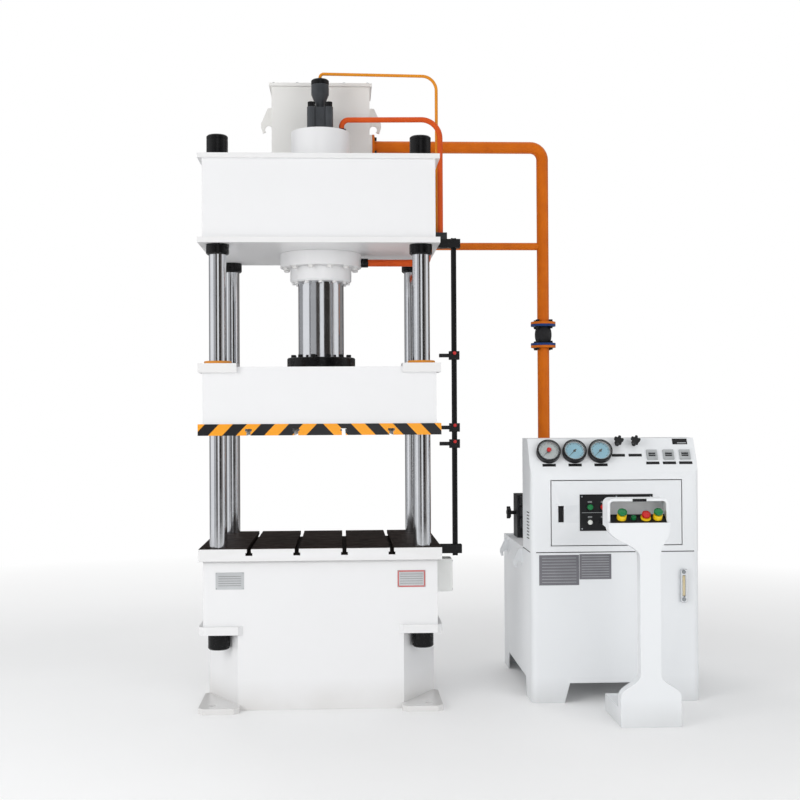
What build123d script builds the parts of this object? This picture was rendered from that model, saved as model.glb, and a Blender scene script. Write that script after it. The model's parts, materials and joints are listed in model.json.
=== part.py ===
from build123d import *
import os

# Four-column hydraulic stamping press with its power unit and two-hand control pedestal.
# Millimetres. +X is the operator's right, +Y the back, +Z up. The origin is on the floor,
# on the press axis, midway between the four anchor holes.

# Fits and cuts used all over
overrun = 10            # a cutting body passes the face that it cuts by this much
free_fit = 0.3          # gap between round faces that don't press on each other
button_fit = 0.5        # gap round a button, knob or handle in its seat

# Bed and table
table_width = 1100
table_depth = 880
table_height = 729
table_plate_thickness = 56
wall_setback = 20       # the weldments' walls stand this far inside their plates' edges
bed_wall = 25
pocket_side_room = 41   # corner pocket past the bottom nut, from the side
pocket_front_room = 166 # and from the front
ledge_top = 380
ledge_thickness = 38
ledge_chamfer = 22
foot_width = 183
foot_depth = 346
foot_inset = 2          # foot's side edge from the table's side edge
foot_overhang = 56      # foot's front edge before the table's front edge
foot_thickness = 26
foot_chamfer = 24
anchor_edge_x = 58      # anchor hole from its foot's outer edges
anchor_edge_y = 66
anchor_hole = 33
slot_pitch = 215
slot_count = 4
slot_throat = 18
slot_head = 30
slot_head_height = 12
slot_depth = 30

# Columns and their nuts
column_diameter = 80
column_edge_x = 85      # column's axis from the table's side edge
column_edge_y = 75      # and from its front edge
column_sleeve_wall = 13 # tube welded round a column inside the weldments
nut_wall = 9            # from the column out to the nut's rim
bottom_nut_height = 73
collar_wall = 12.5
collar_height = 48
top_nut_height = 92
nut_groove_width = 4
nut_groove_depth = 2
nut_groove_drop = 22    # from the top nut's upper face to its groove
nut_chamfer = 6
column_end_drop = 8     # the column ends this far inside its end nuts

# Crown
crown_bottom = 2113
crown_height = 406
crown_bottom_plate = 26
crown_top_plate = 22
crown_wall = 25

# Main cylinder, gland and ram
flange_step = 26        # flange's rim beyond the barrel
flange_height = 68
barrel_wall = 50
boss_wall = 22.5
boss_height = 188
bore_end = 40           # closed end above the bore
port_diameter = 70
gland_wall = 38.5
gland_height = 71
gland_spigot = 60
gland_spigot_inset = 4
gland_chamfer = 8
ram_diameter = 220
ram_annulus = 10        # from the ram out to the bore
piston_height = 60
piston_rise = 212       # from the crown's underside to the piston
piston_groove_width = 8
piston_groove_depth = 5
ram_flange_reach = 55   # from the ram to the flange's edge
ram_flange_height = 57
ram_flange_chamfer = 5

# Slide
slide_bottom = 1240
slide_plate_thickness = 52
slide_height = 311
slide_wall = 22
slide_top_plate = 30
guide_size = 175
guide_drop = 26         # guide plate below the slide's top
guide_rise = 16         # and above it
guide_chamfer = 30
guide_tube_wall = 14
bush_wall = 8
guide_relief = 1        # the slide's bores clear the columns by this much between the bushes
bush_length = 110
wiper_wall = 23
wiper_height = 12
wiper_chamfer = 3

# Filling valve on the cylinder's top
valve_block_size = 96
valve_block_height = 118
valve_post_pitch = 84
valve_post_diameter = 42
valve_screw_diameter = 36
valve_screw_height = 24
valve_socket = 18
valve_body_height = 118
valve_neck_diameter = 48
valve_neck_height = 22
valve_bowl_diameter = 87
valve_shoulder_height = 70
valve_cap_diameter = 87
valve_cap_height = 25
valve_cap_chamfer = 6

# Upper tank
upper_tank_width = 490
upper_tank_front = 152
upper_tank_rear = 430
upper_tank_height = 456
upper_tank_sheet = 5
lid_thickness = 17
lid_overhang = 12
hook_thickness = 12
hook_reach = 62
hook_height = 132
hook_top_drop = 72      # from the tank's top edge to the hook's top
hook_outline_shares = ((0, 0.06), (0.22, 0), (0.44, 0.03), (1, 0.62), (1, 0.76), (0.84, 1), (0, 0.84))
hook_notch_shares = (0.36, 0.84)
hook_notch_radius_share = 0.30
hook_y = 300
outlet_y = 262
outlet_rise = 177       # outlet's axis above the crown
outlet_flange_diameter = 124
outlet_flange_thickness = 14

# Pipes
filling_pipe_diameter = 60
filling_pipe_wall = 4
filling_pipe_inset = 167 # from the oil tank's left side
filling_bend = 62
flange_thickness = 12
flange_outer = 126
joint_top = 1802
joint_bottom = 1669
ball_diameter = 86
ball_wall = 9
return_pipe_diameter = 38
return_pipe_wall = 3
return_pipe_rise = 76   # above the crown's underside
pressure_pipe_diameter = 26
pressure_pipe_wall = 4
pressure_start_edge = 38.5 # from the cylinder boss's rim
pressure_run_reach = 54 # from the crown's side wall
pressure_run_y = -20
pressure_rise = 45      # above its union
pressure_bend = 92
pressure_start_bend = 34
pilot_pipe_diameter = 15
pilot_pipe_wall = 2
pilot_run_reach = 41
pilot_run_y = 30
pilot_rise = 21
pilot_bend = 70
pilot_start_bend = 18
port_pipe_diameter = 34
port_pipe_wall = 4
port_pipe_drop = 41     # below the crown's underside
port_pipe_end_inset = 30 # from the crown's side edge
port_pipe_bend = 24
union_diameter = 44
union_length = 34
pressure_union_height = 20
pilot_union_diameter = 26
pilot_union_height = 8
manifold_width = 84
manifold_depth = 110
manifold_rise = 37      # above the crown's underside
manifold_height = 66

# Stroke limit rod with its switches
limit_rod_reach = 72    # from the table's side edge
limit_rod_y = -300
limit_rod_width = 24
limit_rod_depth = 14
limit_rod_low_end = 12  # rod past its lower bracket
limit_rod_high_end = 6  # and past its upper one
limit_slot_width = 8
limit_slot_depth = 6
limit_bracket_height = 40
limit_bracket_depth = 46
limit_bracket_edge = 18 # bracket material round the rod
upper_bracket_drop = 7  # below the crown's underside
lower_bracket_rise = 15 # above the table plate's underside
limit_switch_rises = (365, 30, -45) # from the slide's underside
limit_clamp_width = 48
limit_clamp_depth = 34
limit_clamp_height = 40
limit_sensor_diameter = 18
limit_sensor_length = 46
terminal_box_reach = 75
terminal_box_depth = 105
terminal_box_height = 150
terminal_box_bottom = 516
terminal_box_y = -300
terminal_box_fillet = 6

# Power unit: oil tank and console
unit_gap = 415          # between the table's side edge and the unit
unit_width = 785
unit_front = -372
unit_depth = 950
tank_top = 692
tank_floor = 90
tank_sheet = 5
tank_plate = 12
tank_corner = 30
tank_leg_width = 150
tank_leg_taper = 28
tank_hook_reach = 46
tank_hook_height = 92
tank_hook_thickness = 10
tank_hook_drop = 8
tank_hook_spots_share = (0.28, 0.80)
console_depth = 250
console_front_height = 363 # upright front, above the oil tank
console_slope_rise = 160
console_slope_run = 90
console_sheet = 3
console_corner = 24
door_inset = 97         # from the unit's left side
door_width = 606
door_rise = 32          # above the oil tank
door_height = 297
door_sheet = 3
door_gap = 4
door_lip = 16
hinge_pin_diameter = 8
hinge_pin_inset = 8     # pivot axis from the door's right edge and from its face
hinge_pin_reach = 14
hinge_lug_width = 26
hinge_lug_depth = 24
hinge_lug_height = 12
handle_inset = 44       # from the door's left edge
handle_rise = 144       # above the door's lower edge
handle_width = 26
handle_height = 76
handle_cup_depth = 22
handle_cup_rim = 3
handle_thickness = 6
handle_pivot = 4
handle_pivot_drop = 12
handle_eye = 9
handle_side_gap = 1.5
handle_top_gap = 7      # room for the handle's upper end to turn
panel_inset = 131       # from the door's left edge
panel_width = 340
panel_rise = 66         # above the door's lower edge
panel_height = 168
panel_thickness = 3
panel_pitch = 61
panel_row_gap = 70
panel_columns = 5
panel_rows = 2
panel_first_inset = 47
panel_upper_drop = 58   # upper row below the panel's upper edge
panel_button_diameter = 26
panel_button_proud = 9
panel_button_guard = 32
panel_bezel_proud = 5
panel_button_tail = 6
selector_face = 3
selector_reach = 12
selector_grip = 7

# Instruments on the sloped panel
gauge_first_inset = 91  # from the unit's left side
gauge_pitch = 121
gauge_count = 3
gauge_rise = 93         # above the foot of the slope
gauge_diameter = 112
gauge_proud = 34
gauge_rim = 6
gauge_dial_depth = 14
needle_length = 40
needle_width = 5
needle_thickness = 1.5
needle_hub = 12
needle_lift = 2
needle_zero = 225       # degrees, where the needle rests
spindle_diameter = 4
star_knob_insets = (420, 499)
star_knob_rise = 131
star_knob_diameter = 46
star_knob_height = 16
star_stem_diameter = 20
star_stem_height = 34
star_lobes = 5
star_lobe_share = 0.30
star_core_share = 0.62
counter_insets = (577, 655, 732)
counter_rise = 81
counter_size = 50
counter_proud = 9
counter_window_width = 34
counter_window_height = 20
counter_window_depth = 4
level_inset = 78        # from the unit's right side
level_drop = 157        # below the oil tank's top
level_height = 153
level_width = 27
level_depth = 20
level_glass_width = 13
level_glass_height = 96
level_glass_depth = 6

# Pump set on the oil tank
pump_setback = 772      # from the unit's front
pump_rise = 150         # axis above the oil tank
motor_diameter = 236
motor_inset = 335       # from the unit's left side
motor_length = 300
motor_fin_count = 24
motor_fin_height = 10
motor_fin_width = 6
motor_foot_width = 200
motor_foot_length = 180
fan_cover_length = 80
fan_cover_sheet = 3
fan_diameter = 190
fan_width = 26
rotor_shaft_diameter = 38
rotor_shaft_gap = 2
bell_length = 84
bell_diameter = 200
bell_wall = 14
pump_length = 96
pump_diameter = 118
manifold_block_inset = 37
manifold_block_length = 110
manifold_block_depth = 140
manifold_block_height = 222
valve_body_count = 3
valve_body_inset = 12
valve_body_reach = 30
valve_body_size = 46
valve_body_gap = 58
hand_knob_diameter = 66
hand_knob_rise = 125
hand_knob_height = 18
hand_stem_diameter = 20
hand_stem_length = 26

# Two-hand control pedestal
post_inset = 438        # post's middle from the unit's left side
post_front = -846
post_base_width = 260
post_base_height = 124
post_neck_width = 89
post_neck_bottom = 226
post_neck_top = 716
post_depth = 56
post_sheet = 3
base_box_depth = 320
base_box_height = 76
base_box_sheet = 4
head_left_reach = 179   # from the post's middle
head_right_reach = 86
head_bottom = 850
head_height = 119
head_depth = 116
head_frame = 12
head_corner = 26
head_hood_setback = 16
head_rear_bottom = 740
strip_lift = 17         # strip's front edge above the head's shoulder
strip_rise = 32
strip_run = 52
button_insets = (62, 114, 166, 217) # from the head's left side
stem_depth = 5          # stems reach this far below the strip's face
palm_diameter = 40
palm_cap_height = 18
palm_edge_share = 0.3
palm_stem_diameter = 22
palm_travel = 5
palm_gap = 6            # cap's underside above its collar's rim
collar_outer = 40
collar_proud = 22
start_diameter = 22
start_height = 11
stop_cap_diameter = 38
stop_cap_height = 20
stop_collar_outer = 44
stop_collar_proud = 8


def block(x0, x1, y0, y1, z0, z1):
    """Box between two corners."""
    centre = Pos((x0 + x1) / 2, (y0 + y1) / 2, (z0 + z1) / 2)
    return centre * Box(x1 - x0, y1 - y0, z1 - z0)


def disc(diameter, z0, z1, x=0, y=0):
    """Upright cylinder."""
    return Pos(x, y, (z0 + z1) / 2) * Cylinder(diameter / 2, z1 - z0)


def ring(outer, inner, z0, z1, x=0, y=0):
    """Upright ring."""
    return disc(outer, z0, z1, x, y) - disc(inner, z0 - overrun, z1 + overrun, x, y)


def bar_x(diameter, x0, x1, y, z):
    """Round bar along X."""
    return Pos((x0 + x1) / 2, y, z) * Rot(0, 90, 0) * Cylinder(diameter / 2, x1 - x0)


def bar_y(diameter, y0, y1, x, z):
    """Round bar along Y."""
    return Pos(x, (y0 + y1) / 2, z) * Rot(90, 0, 0) * Cylinder(diameter / 2, y1 - y0)


def turned(points):
    """Solid of revolution about Z from (radius, height) points."""
    return revolve(make_face(Plane.XZ * Polyline(*points, close=True)), Axis.Z)


def across(outline, y0, y1):
    """Outline drawn in X and Z, run from y0 to y1."""
    plane = Plane((0, y0, 0), x_dir=(1, 0, 0), z_dir=(0, -1, 0))
    return extrude(plane * outline, amount=y0 - y1)


def along(outline, x0, x1):
    """Outline drawn in Y and Z, run from x0 to x1."""
    plane = Plane((x0, 0, 0), x_dir=(0, 1, 0), z_dir=(1, 0, 0))
    return extrude(plane * outline, amount=x1 - x0)


def polygon(*points):
    """Flat face inside straight sides."""
    return make_face(Polyline(*points, close=True))


def flare(x0, z0, x1, z1):
    """Curve between two upright stretches."""
    middle = (z0 + z1) / 2
    return Bezier((x0, z0), (x0, middle), (x1, middle), (x1, z1))


def pipe(points, outer, wall, bend):
    """Bent tube through the given points."""
    path = FilletPolyline(*points, radius=bend) if len(points) > 2 else Line(*points)
    start = Plane(origin=path @ 0, z_dir=path % 0)
    section = Circle(outer / 2) - Circle(outer / 2 - wall)
    return sweep(start * section, path=path)


def corners(x, y):
    """The four corners of a rectangle round the press axis."""
    return [(-x, -y), (x, -y), (-x, y), (x, y)]


def save(name, *solids):
    """Write one node, of one or several solids."""
    pieces = [solid for item in solids for solid in item.solids()]
    export_step(Compound(children=pieces), f"parts/{name}.step")


os.makedirs("parts", exist_ok=True)

# Sizes and places that several pieces share
half_width = table_width / 2
half_depth = table_depth / 2
wall_x = half_width - wall_setback
wall_y = half_depth - wall_setback
bed_top = table_height - table_plate_thickness
ledge_bottom = ledge_top - ledge_thickness
column_spots = corners(half_width - column_edge_x, half_depth - column_edge_y)
column_hole = column_diameter + 2 * free_fit
column_sleeve = column_diameter + 2 * column_sleeve_wall
nut_diameter = column_diameter + 2 * nut_wall
pocket_width = column_edge_x + nut_diameter / 2 + pocket_side_room
pocket_depth = column_edge_y + nut_diameter / 2 + pocket_front_room
crown_top = crown_bottom + crown_height
slide_top = slide_bottom + slide_height
bore_diameter = ram_diameter + 2 * ram_annulus
barrel_diameter = bore_diameter + 2 * barrel_wall
flange_diameter = barrel_diameter + 2 * flange_step
boss_diameter = bore_diameter + 2 * boss_wall
unit_left = half_width + unit_gap
unit_right = unit_left + unit_width
unit_rear = unit_front + unit_depth
outlet_z = crown_top + outlet_rise
filling_pipe_x = unit_left + filling_pipe_inset


def t_slots(face_z, way):
    """T-slots from front to back, cut from a face; way is +1 upwards or -1 downwards."""
    cuts = []
    throat_end = face_z + way * (slot_depth - slot_head_height)
    head_end = face_z + way * slot_depth
    for i in range(slot_count):
        x = (i - (slot_count - 1) / 2) * slot_pitch
        y0, y1 = -half_depth - overrun, half_depth + overrun
        throat = sorted((face_z - way * overrun, throat_end))
        head = sorted((throat_end, head_end))
        cuts.append(block(x - slot_throat / 2, x + slot_throat / 2, y0, y1, *throat))
        cuts.append(block(x - slot_head / 2, x + slot_head / 2, y0, y1, *head))
    return cuts


def octagon(inset):
    """Plan of the bed below its ledges, with a slanting plate across each corner."""
    side_x, side_y = wall_x - inset, wall_y - inset
    cut_x, cut_y = half_width - pocket_width - inset / 2, half_depth - pocket_depth - inset / 2
    points = [(cut_x, -side_y), (side_x, -cut_y), (side_x, cut_y), (cut_x, side_y)]
    return polygon(*points, *[(-x, -y) for x, y in points])


def corner_plate(x0, x1, y0, y1):
    """Plan of a corner plate in the first quarter."""
    return Pos((x0 + x1) / 2, (y0 + y1) / 2) * Rectangle(x1 - x0, y1 - y0)


def mirrored(solid):
    """The solid in all four quarters."""
    right = [solid, mirror(solid, about=Plane.XZ)]
    return right + [mirror(item, about=Plane.YZ) for item in right]


# Bed weldment: walls, corner ledges that the column nuts pull on, and anchored feet
lower_walls = extrude(octagon(0) - octagon(bed_wall), amount=ledge_top)
upper_plan = Rectangle(2 * wall_x, 2 * wall_y)
upper_plan -= Rectangle(2 * (wall_x - bed_wall), 2 * (wall_y - bed_wall))
upper_walls = Pos(0, 0, ledge_top) * extrude(upper_plan, amount=bed_top - ledge_top)
ledge_plan = corner_plate(half_width - pocket_width - bed_wall, half_width,
                          half_depth - pocket_depth - bed_wall, half_depth)
ledge_plan = chamfer(ledge_plan.vertices(), length=ledge_chamfer)
ledge = Pos(0, 0, ledge_bottom) * extrude(ledge_plan, amount=ledge_thickness)
foot_side, foot_front = half_width - foot_inset, half_depth + foot_overhang
foot_plan = corner_plate(foot_side - foot_width, foot_side, foot_front - foot_depth, foot_front)
foot = extrude(chamfer(foot_plan.vertices(), length=foot_chamfer), amount=foot_thickness)
web_x = block(-wall_x + bed_wall, wall_x - bed_wall, -bed_wall / 2, bed_wall / 2, 0, bed_top)
web_y = block(-bed_wall / 2, bed_wall / 2, -wall_y + bed_wall, wall_y - bed_wall, 0, bed_top)
bed = lower_walls + upper_walls + mirrored(ledge) + mirrored(foot) + web_x + web_y
bed += [disc(column_sleeve, ledge_top, bed_top, x, y) for x, y in column_spots]
bed -= [disc(column_hole, ledge_bottom - overrun, bed_top + overrun, x, y) for x, y in column_spots]
bed -= [disc(anchor_hole, -overrun, foot_thickness + overrun, x, y)
        for x, y in corners(foot_side - anchor_edge_x, foot_front - anchor_edge_y)]
save("bed", bed)

# Table plate with T-slots from front to back
table = block(-half_width, half_width, -half_depth, half_depth, bed_top, table_height)
table -= [disc(column_hole, bed_top - overrun, table_height + overrun, x, y) for x, y in column_spots]
table -= t_slots(table_height, -1)
save("table_plate", table)

# Columns, with a nut below the ledge, a collar under the crown and a nut on top of it
column_foot = ledge_bottom - bottom_nut_height + column_end_drop
column_head = crown_top + top_nut_height - column_end_drop
save("columns", *[disc(column_diameter, column_foot, column_head, x, y) for x, y in column_spots])


def round_nut(outer, z0, z1, chamfer_low, chamfer_high, groove_z=None):
    """Round nut on a column, with turned edges and an optional groove."""
    bore, rim = column_hole / 2, outer / 2
    points = [(bore, z0), (rim - chamfer_low, z0), (rim, z0 + chamfer_low)]
    if groove_z is not None:
        root = rim - nut_groove_depth
        points += [(rim, groove_z), (root, groove_z), (root, groove_z + nut_groove_width)]
        points += [(rim, groove_z + nut_groove_width)]
    points += [(rim, z1 - chamfer_high), (rim - chamfer_high, z1), (bore, z1)]
    return turned(points)


slight = nut_chamfer / 4
collar_diameter = column_diameter + 2 * collar_wall
top_nut_end = crown_top + top_nut_height
nuts = [
    round_nut(nut_diameter, ledge_bottom - bottom_nut_height, ledge_bottom, nut_chamfer, slight),
    round_nut(collar_diameter, crown_bottom - collar_height, crown_bottom, nut_chamfer, slight),
    round_nut(nut_diameter, crown_top, top_nut_end, slight, nut_chamfer, top_nut_end - nut_groove_drop),
]
save("column_nuts", *[Pos(x, y, 0) * nut for nut in nuts for x, y in column_spots])

# Crown weldment round the cylinder
crown_floor = crown_bottom + crown_bottom_plate
crown_roof = crown_top - crown_top_plate
crown = block(-half_width, half_width, -half_depth, half_depth, crown_bottom, crown_floor)
crown += block(-half_width, half_width, -half_depth, half_depth, crown_roof, crown_top)
crown_box = block(-wall_x, wall_x, -wall_y, wall_y, crown_floor, crown_roof)
crown_box -= block(-wall_x + crown_wall, wall_x - crown_wall, -wall_y + crown_wall,
                   wall_y - crown_wall, crown_floor, crown_roof)
crown += crown_box
crown += [disc(column_sleeve, crown_floor, crown_roof, x, y) for x, y in column_spots]
crown -= [disc(column_hole, crown_bottom - overrun, crown_top + overrun, x, y) for x, y in column_spots]
crown -= disc(barrel_diameter + 2 * free_fit, crown_bottom - overrun, crown_floor + overrun)
crown -= disc(boss_diameter + 2 * free_fit, crown_roof - overrun, crown_top + overrun)
save("crown", crown)

# Main cylinder, hung by its flange under the crown
flange_bottom = crown_bottom - flange_height
boss_top = crown_top + boss_height
bore_top = boss_top - bore_end
save("main_cylinder", turned([
    (bore_diameter / 2, flange_bottom), (flange_diameter / 2, flange_bottom),
    (flange_diameter / 2, crown_bottom), (barrel_diameter / 2, crown_bottom),
    (barrel_diameter / 2, crown_roof), (boss_diameter / 2, crown_roof),
    (boss_diameter / 2, boss_top), (port_diameter / 2, boss_top),
    (port_diameter / 2, bore_top), (bore_diameter / 2, bore_top)]))

# Gland that closes the bore and guides the ram
gland_bottom = flange_bottom - gland_height
gland_bore = ram_diameter / 2 + free_fit
gland_rim = ram_diameter / 2 + gland_wall
spigot_radius = bore_diameter / 2 - free_fit
save("cylinder_gland", turned([
    (gland_bore, gland_bottom), (gland_rim - gland_chamfer, gland_bottom),
    (gland_rim, gland_bottom + gland_chamfer), (gland_rim, flange_bottom),
    (spigot_radius, flange_bottom), (spigot_radius, flange_bottom + gland_spigot - gland_spigot_inset),
    (spigot_radius - gland_spigot_inset, flange_bottom + gland_spigot),
    (gland_bore, flange_bottom + gland_spigot)]))

# Ram, turned in one piece with its grooved piston
ram_radius = ram_diameter / 2
piston_radius = bore_diameter / 2 - free_fit
piston_bottom = crown_bottom + piston_rise
groove_root = piston_radius - piston_groove_depth
groove_low = piston_bottom + (piston_height - piston_groove_width) / 2
groove_high = groove_low + piston_groove_width
piston_top = piston_bottom + piston_height
save("ram", turned([
    (0, slide_top), (ram_radius, slide_top), (ram_radius, piston_bottom),
    (piston_radius, piston_bottom), (piston_radius, groove_low), (groove_root, groove_low),
    (groove_root, groove_high), (piston_radius, groove_high), (piston_radius, piston_top),
    (0, piston_top)]))

# Flange that bolts the ram to the slide
flange_edge = ram_radius + ram_flange_reach
ram_flange_top = slide_top + ram_flange_height
save("ram_flange", turned([
    (gland_bore, slide_top), (flange_edge, slide_top),
    (flange_edge, ram_flange_top - ram_flange_chamfer),
    (flange_edge - ram_flange_chamfer, ram_flange_top), (gland_bore, ram_flange_top)]))

# Slide weldment with a T-slotted lower plate and a guide at each column
slide_floor = slide_bottom + slide_plate_thickness
slide_roof = slide_top - slide_top_plate
slide = block(-half_width, half_width, -half_depth, half_depth, slide_bottom, slide_floor)
slide_box = block(-wall_x, wall_x, -wall_y, wall_y, slide_floor, slide_top)
slide_box -= block(-wall_x + slide_wall, wall_x - slide_wall, -wall_y + slide_wall,
                   wall_y - slide_wall, slide_floor, slide_roof)
slide += slide_box
guide_bottom, guide_top = slide_top - guide_drop, slide_top + guide_rise
guide_plan = Pos(half_width - guide_size / 2, half_depth - guide_size / 2) * Rectangle(guide_size, guide_size)
inner_corner = guide_plan.vertices().sort_by(lambda v: v.X + v.Y)[0]
guide = extrude(chamfer(inner_corner, length=guide_chamfer), amount=guide_top - guide_bottom)
slide += mirrored(Pos(0, 0, guide_bottom) * guide)
guide_tube = column_diameter + 2 * guide_tube_wall
slide += [disc(guide_tube, slide_floor, slide_roof, x, y) for x, y in column_spots]
bush_outer = column_diameter + 2 * bush_wall
bush_hole = bush_outer + 2 * free_fit
slide -= [disc(column_hole + 2 * guide_relief, slide_bottom - overrun, guide_top + overrun, x, y)
          for x, y in column_spots]
slide -= [disc(bush_hole, guide_top - bush_length, guide_top + overrun, x, y) for x, y in column_spots]
slide -= [disc(bush_hole, slide_bottom - overrun, slide_bottom + bush_length, x, y) for x, y in column_spots]
slide -= t_slots(slide_bottom, 1)
save("slide", slide)
bushes = [ring(bush_outer, column_hole, guide_top - bush_length, guide_top, x, y) for x, y in column_spots]
bushes += [ring(bush_outer, column_hole, slide_bottom, slide_bottom + bush_length, x, y)
           for x, y in column_spots]
save("guide_bushes", *bushes)
wiper_rim = column_diameter / 2 + wiper_wall
wiper = turned([
    (column_hole / 2, guide_top), (wiper_rim, guide_top),
    (wiper_rim, guide_top + wiper_height - wiper_chamfer),
    (wiper_rim - wiper_chamfer, guide_top + wiper_height), (column_hole / 2, guide_top + wiper_height)])
save("wiper_rings", *[Pos(x, y, 0) * wiper for x, y in column_spots])

# Filling valve on the cylinder's top, held by four long cap screws in cast posts
block_top = boss_top + valve_block_height
post_spots = corners(valve_post_pitch / 2, valve_post_pitch / 2)
valve_plan = Rectangle(valve_block_size, valve_block_size)
valve_plan += [Pos(x, y) * Circle(valve_post_diameter / 2) for x, y in post_spots]
save("valve_block", Pos(0, 0, boss_top) * extrude(valve_plan, amount=valve_block_height))
screw_top = block_top + valve_screw_height
save("valve_screws", *[ring(valve_screw_diameter, valve_socket, block_top, screw_top, x, y)
                       for x, y in post_spots])
neck_radius = valve_neck_diameter / 2
bowl_radius = valve_bowl_diameter / 2
valve_top = block_top + valve_body_height
save("filling_valve", turned([
    (0, block_top), (neck_radius, block_top), (neck_radius, block_top + valve_neck_height),
    (bowl_radius, block_top + valve_shoulder_height), (bowl_radius, valve_top), (0, valve_top)]))
cap_radius = valve_cap_diameter / 2
cap_top = valve_top + valve_cap_height
save("valve_cap", turned([
    (0, valve_top), (cap_radius, valve_top), (cap_radius, cap_top - valve_cap_chamfer),
    (cap_radius - valve_cap_chamfer, cap_top), (0, cap_top)]))


def hook(reach, height, thickness, wall, top, y):
    """Lifting hook on a wall that faces +X, open at its lower side."""
    points = [(wall + reach * a, top - height * b) for a, b in hook_outline_shares]
    notch_x, notch_z = hook_notch_shares
    notch = Pos(wall + reach * notch_x, top - height * notch_z) * Circle(reach * hook_notch_radius_share)
    return across(polygon(*points) - notch, y - thickness / 2, y + thickness / 2)


# Upper tank of folded sheet, with a flanged outlet and a hook on each side
upper_half = upper_tank_width / 2
upper_top = crown_top + upper_tank_height
upper_tank = block(-upper_half, upper_half, upper_tank_front, upper_tank_rear, crown_top, upper_top)
upper_tank -= block(-upper_half + upper_tank_sheet, upper_half - upper_tank_sheet,
                    upper_tank_front + upper_tank_sheet, upper_tank_rear - upper_tank_sheet,
                    crown_top + upper_tank_sheet, upper_top + overrun)
outlet_end = upper_half + outlet_flange_thickness
upper_tank += bar_x(outlet_flange_diameter, upper_half, outlet_end, outlet_y, outlet_z)
pipe_bore = filling_pipe_diameter - 2 * filling_pipe_wall
upper_tank -= bar_x(pipe_bore, upper_half - overrun, outlet_end + overrun, outlet_y, outlet_z)
tank_hook = hook(hook_reach, hook_height, hook_thickness, upper_half, upper_top - hook_top_drop, hook_y)
upper_tank += [tank_hook, mirror(tank_hook, about=Plane.YZ)]
save("upper_tank", upper_tank)
save("upper_tank_lid", block(-upper_half - lid_overhang, upper_half + lid_overhang,
                             upper_tank_front - lid_overhang, upper_tank_rear + lid_overhang,
                             upper_top, upper_top + lid_thickness))

# Filling pipe in two halves, with a rubber ball joint between blue flanges
upper_face = joint_top - flange_thickness
lower_face = joint_bottom + flange_thickness
upper_pipe = pipe([(outlet_end, outlet_y, outlet_z), (filling_pipe_x, outlet_y, outlet_z),
                   (filling_pipe_x, outlet_y, upper_face)],
                  filling_pipe_diameter, filling_pipe_wall, filling_bend)
outlet_flange = bar_x(flange_outer, outlet_end, outlet_end + flange_thickness, outlet_y, outlet_z)
upper_pipe += outlet_flange - bar_x(pipe_bore, outlet_end - overrun, outlet_end + flange_thickness + overrun,
                                    outlet_y, outlet_z)


def pipe_flange(z0):
    """Flange round the filling pipe's upright run."""
    return ring(flange_outer, pipe_bore, z0, z0 + flange_thickness, filling_pipe_x, outlet_y)


upper_pipe += pipe_flange(upper_face)
lower_pipe = ring(filling_pipe_diameter, pipe_bore, tank_top, lower_face, filling_pipe_x, outlet_y)
lower_pipe += [pipe_flange(joint_bottom), pipe_flange(tank_top)]
save("filling_pipe", upper_pipe, lower_pipe)
save("joint_flanges", pipe_flange(upper_face - flange_thickness), pipe_flange(lower_face))
ball_low, ball_high = lower_face + flange_thickness, upper_face - flange_thickness
ball_bore = ball_diameter / 2 - 2 * ball_wall
ball_neck = ball_bore + ball_wall
ball_side = ThreePointArc((ball_neck, ball_low), (ball_diameter / 2, (ball_low + ball_high) / 2),
                          (ball_neck, ball_high))
ball_profile = [Polyline((ball_neck, ball_high), (ball_bore, ball_high), (ball_bore, ball_low),
                         (ball_neck, ball_low)), ball_side]
ball = revolve(Plane.XZ * make_face(ball_profile), Axis.Z)
save("joint_ball", Pos(filling_pipe_x, outlet_y, 0) * ball)

# Small pipes, their unions and the manifold on the crown's side
return_pipe_z = crown_bottom + return_pipe_rise
return_pipe = pipe([(wall_x, outlet_y, return_pipe_z), (filling_pipe_x, outlet_y, return_pipe_z)],
                   return_pipe_diameter, return_pipe_wall, 0)
return_pipe -= disc(filling_pipe_diameter + 2 * free_fit, return_pipe_z - return_pipe_diameter,
                    return_pipe_z + return_pipe_diameter, filling_pipe_x, outlet_y)
save("return_pipe", return_pipe.solids().sort_by(Axis.X)[0])
manifold_bottom = crown_bottom + manifold_rise
manifold_top = manifold_bottom + manifold_height
pressure_start = boss_top + pressure_union_height
pressure_start_x = boss_diameter / 2 - pressure_start_edge
pressure_run_x = wall_x + pressure_run_reach
pressure_z = pressure_start + pressure_rise
save("pressure_pipe", pipe([(pressure_start_x, 0, pressure_start), (pressure_start_x, 0, pressure_z),
                            (pressure_run_x, pressure_run_y, pressure_z),
                            (pressure_run_x, pressure_run_y, manifold_top)],
                           pressure_pipe_diameter, pressure_pipe_wall, (pressure_start_bend, pressure_bend)))
pilot_start = cap_top + pilot_union_height
pilot_run_x = wall_x + pilot_run_reach
pilot_z = pilot_start + pilot_rise
save("pilot_pipe", pipe([(0, 0, pilot_start), (0, 0, pilot_z), (pilot_run_x, pilot_run_y, pilot_z),
                         (pilot_run_x, pilot_run_y, manifold_top)],
                        pilot_pipe_diameter, pilot_pipe_wall, (pilot_start_bend, pilot_bend)))
port_start = flange_diameter / 2 + union_length
port_pipe_z = crown_bottom - port_pipe_drop
port_pipe_end_x = half_width - port_pipe_end_inset
save("lower_port_pipe", pipe([(port_start, 0, port_pipe_z), (port_pipe_end_x, 0, port_pipe_z),
                              (port_pipe_end_x, 0, crown_bottom)],
                             port_pipe_diameter, port_pipe_wall, port_pipe_bend))
port_union = bar_x(union_diameter, flange_diameter / 2 - union_length, port_start, 0, port_pipe_z)
port_union -= disc(flange_diameter + 2 * free_fit, flange_bottom, crown_bottom)
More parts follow.
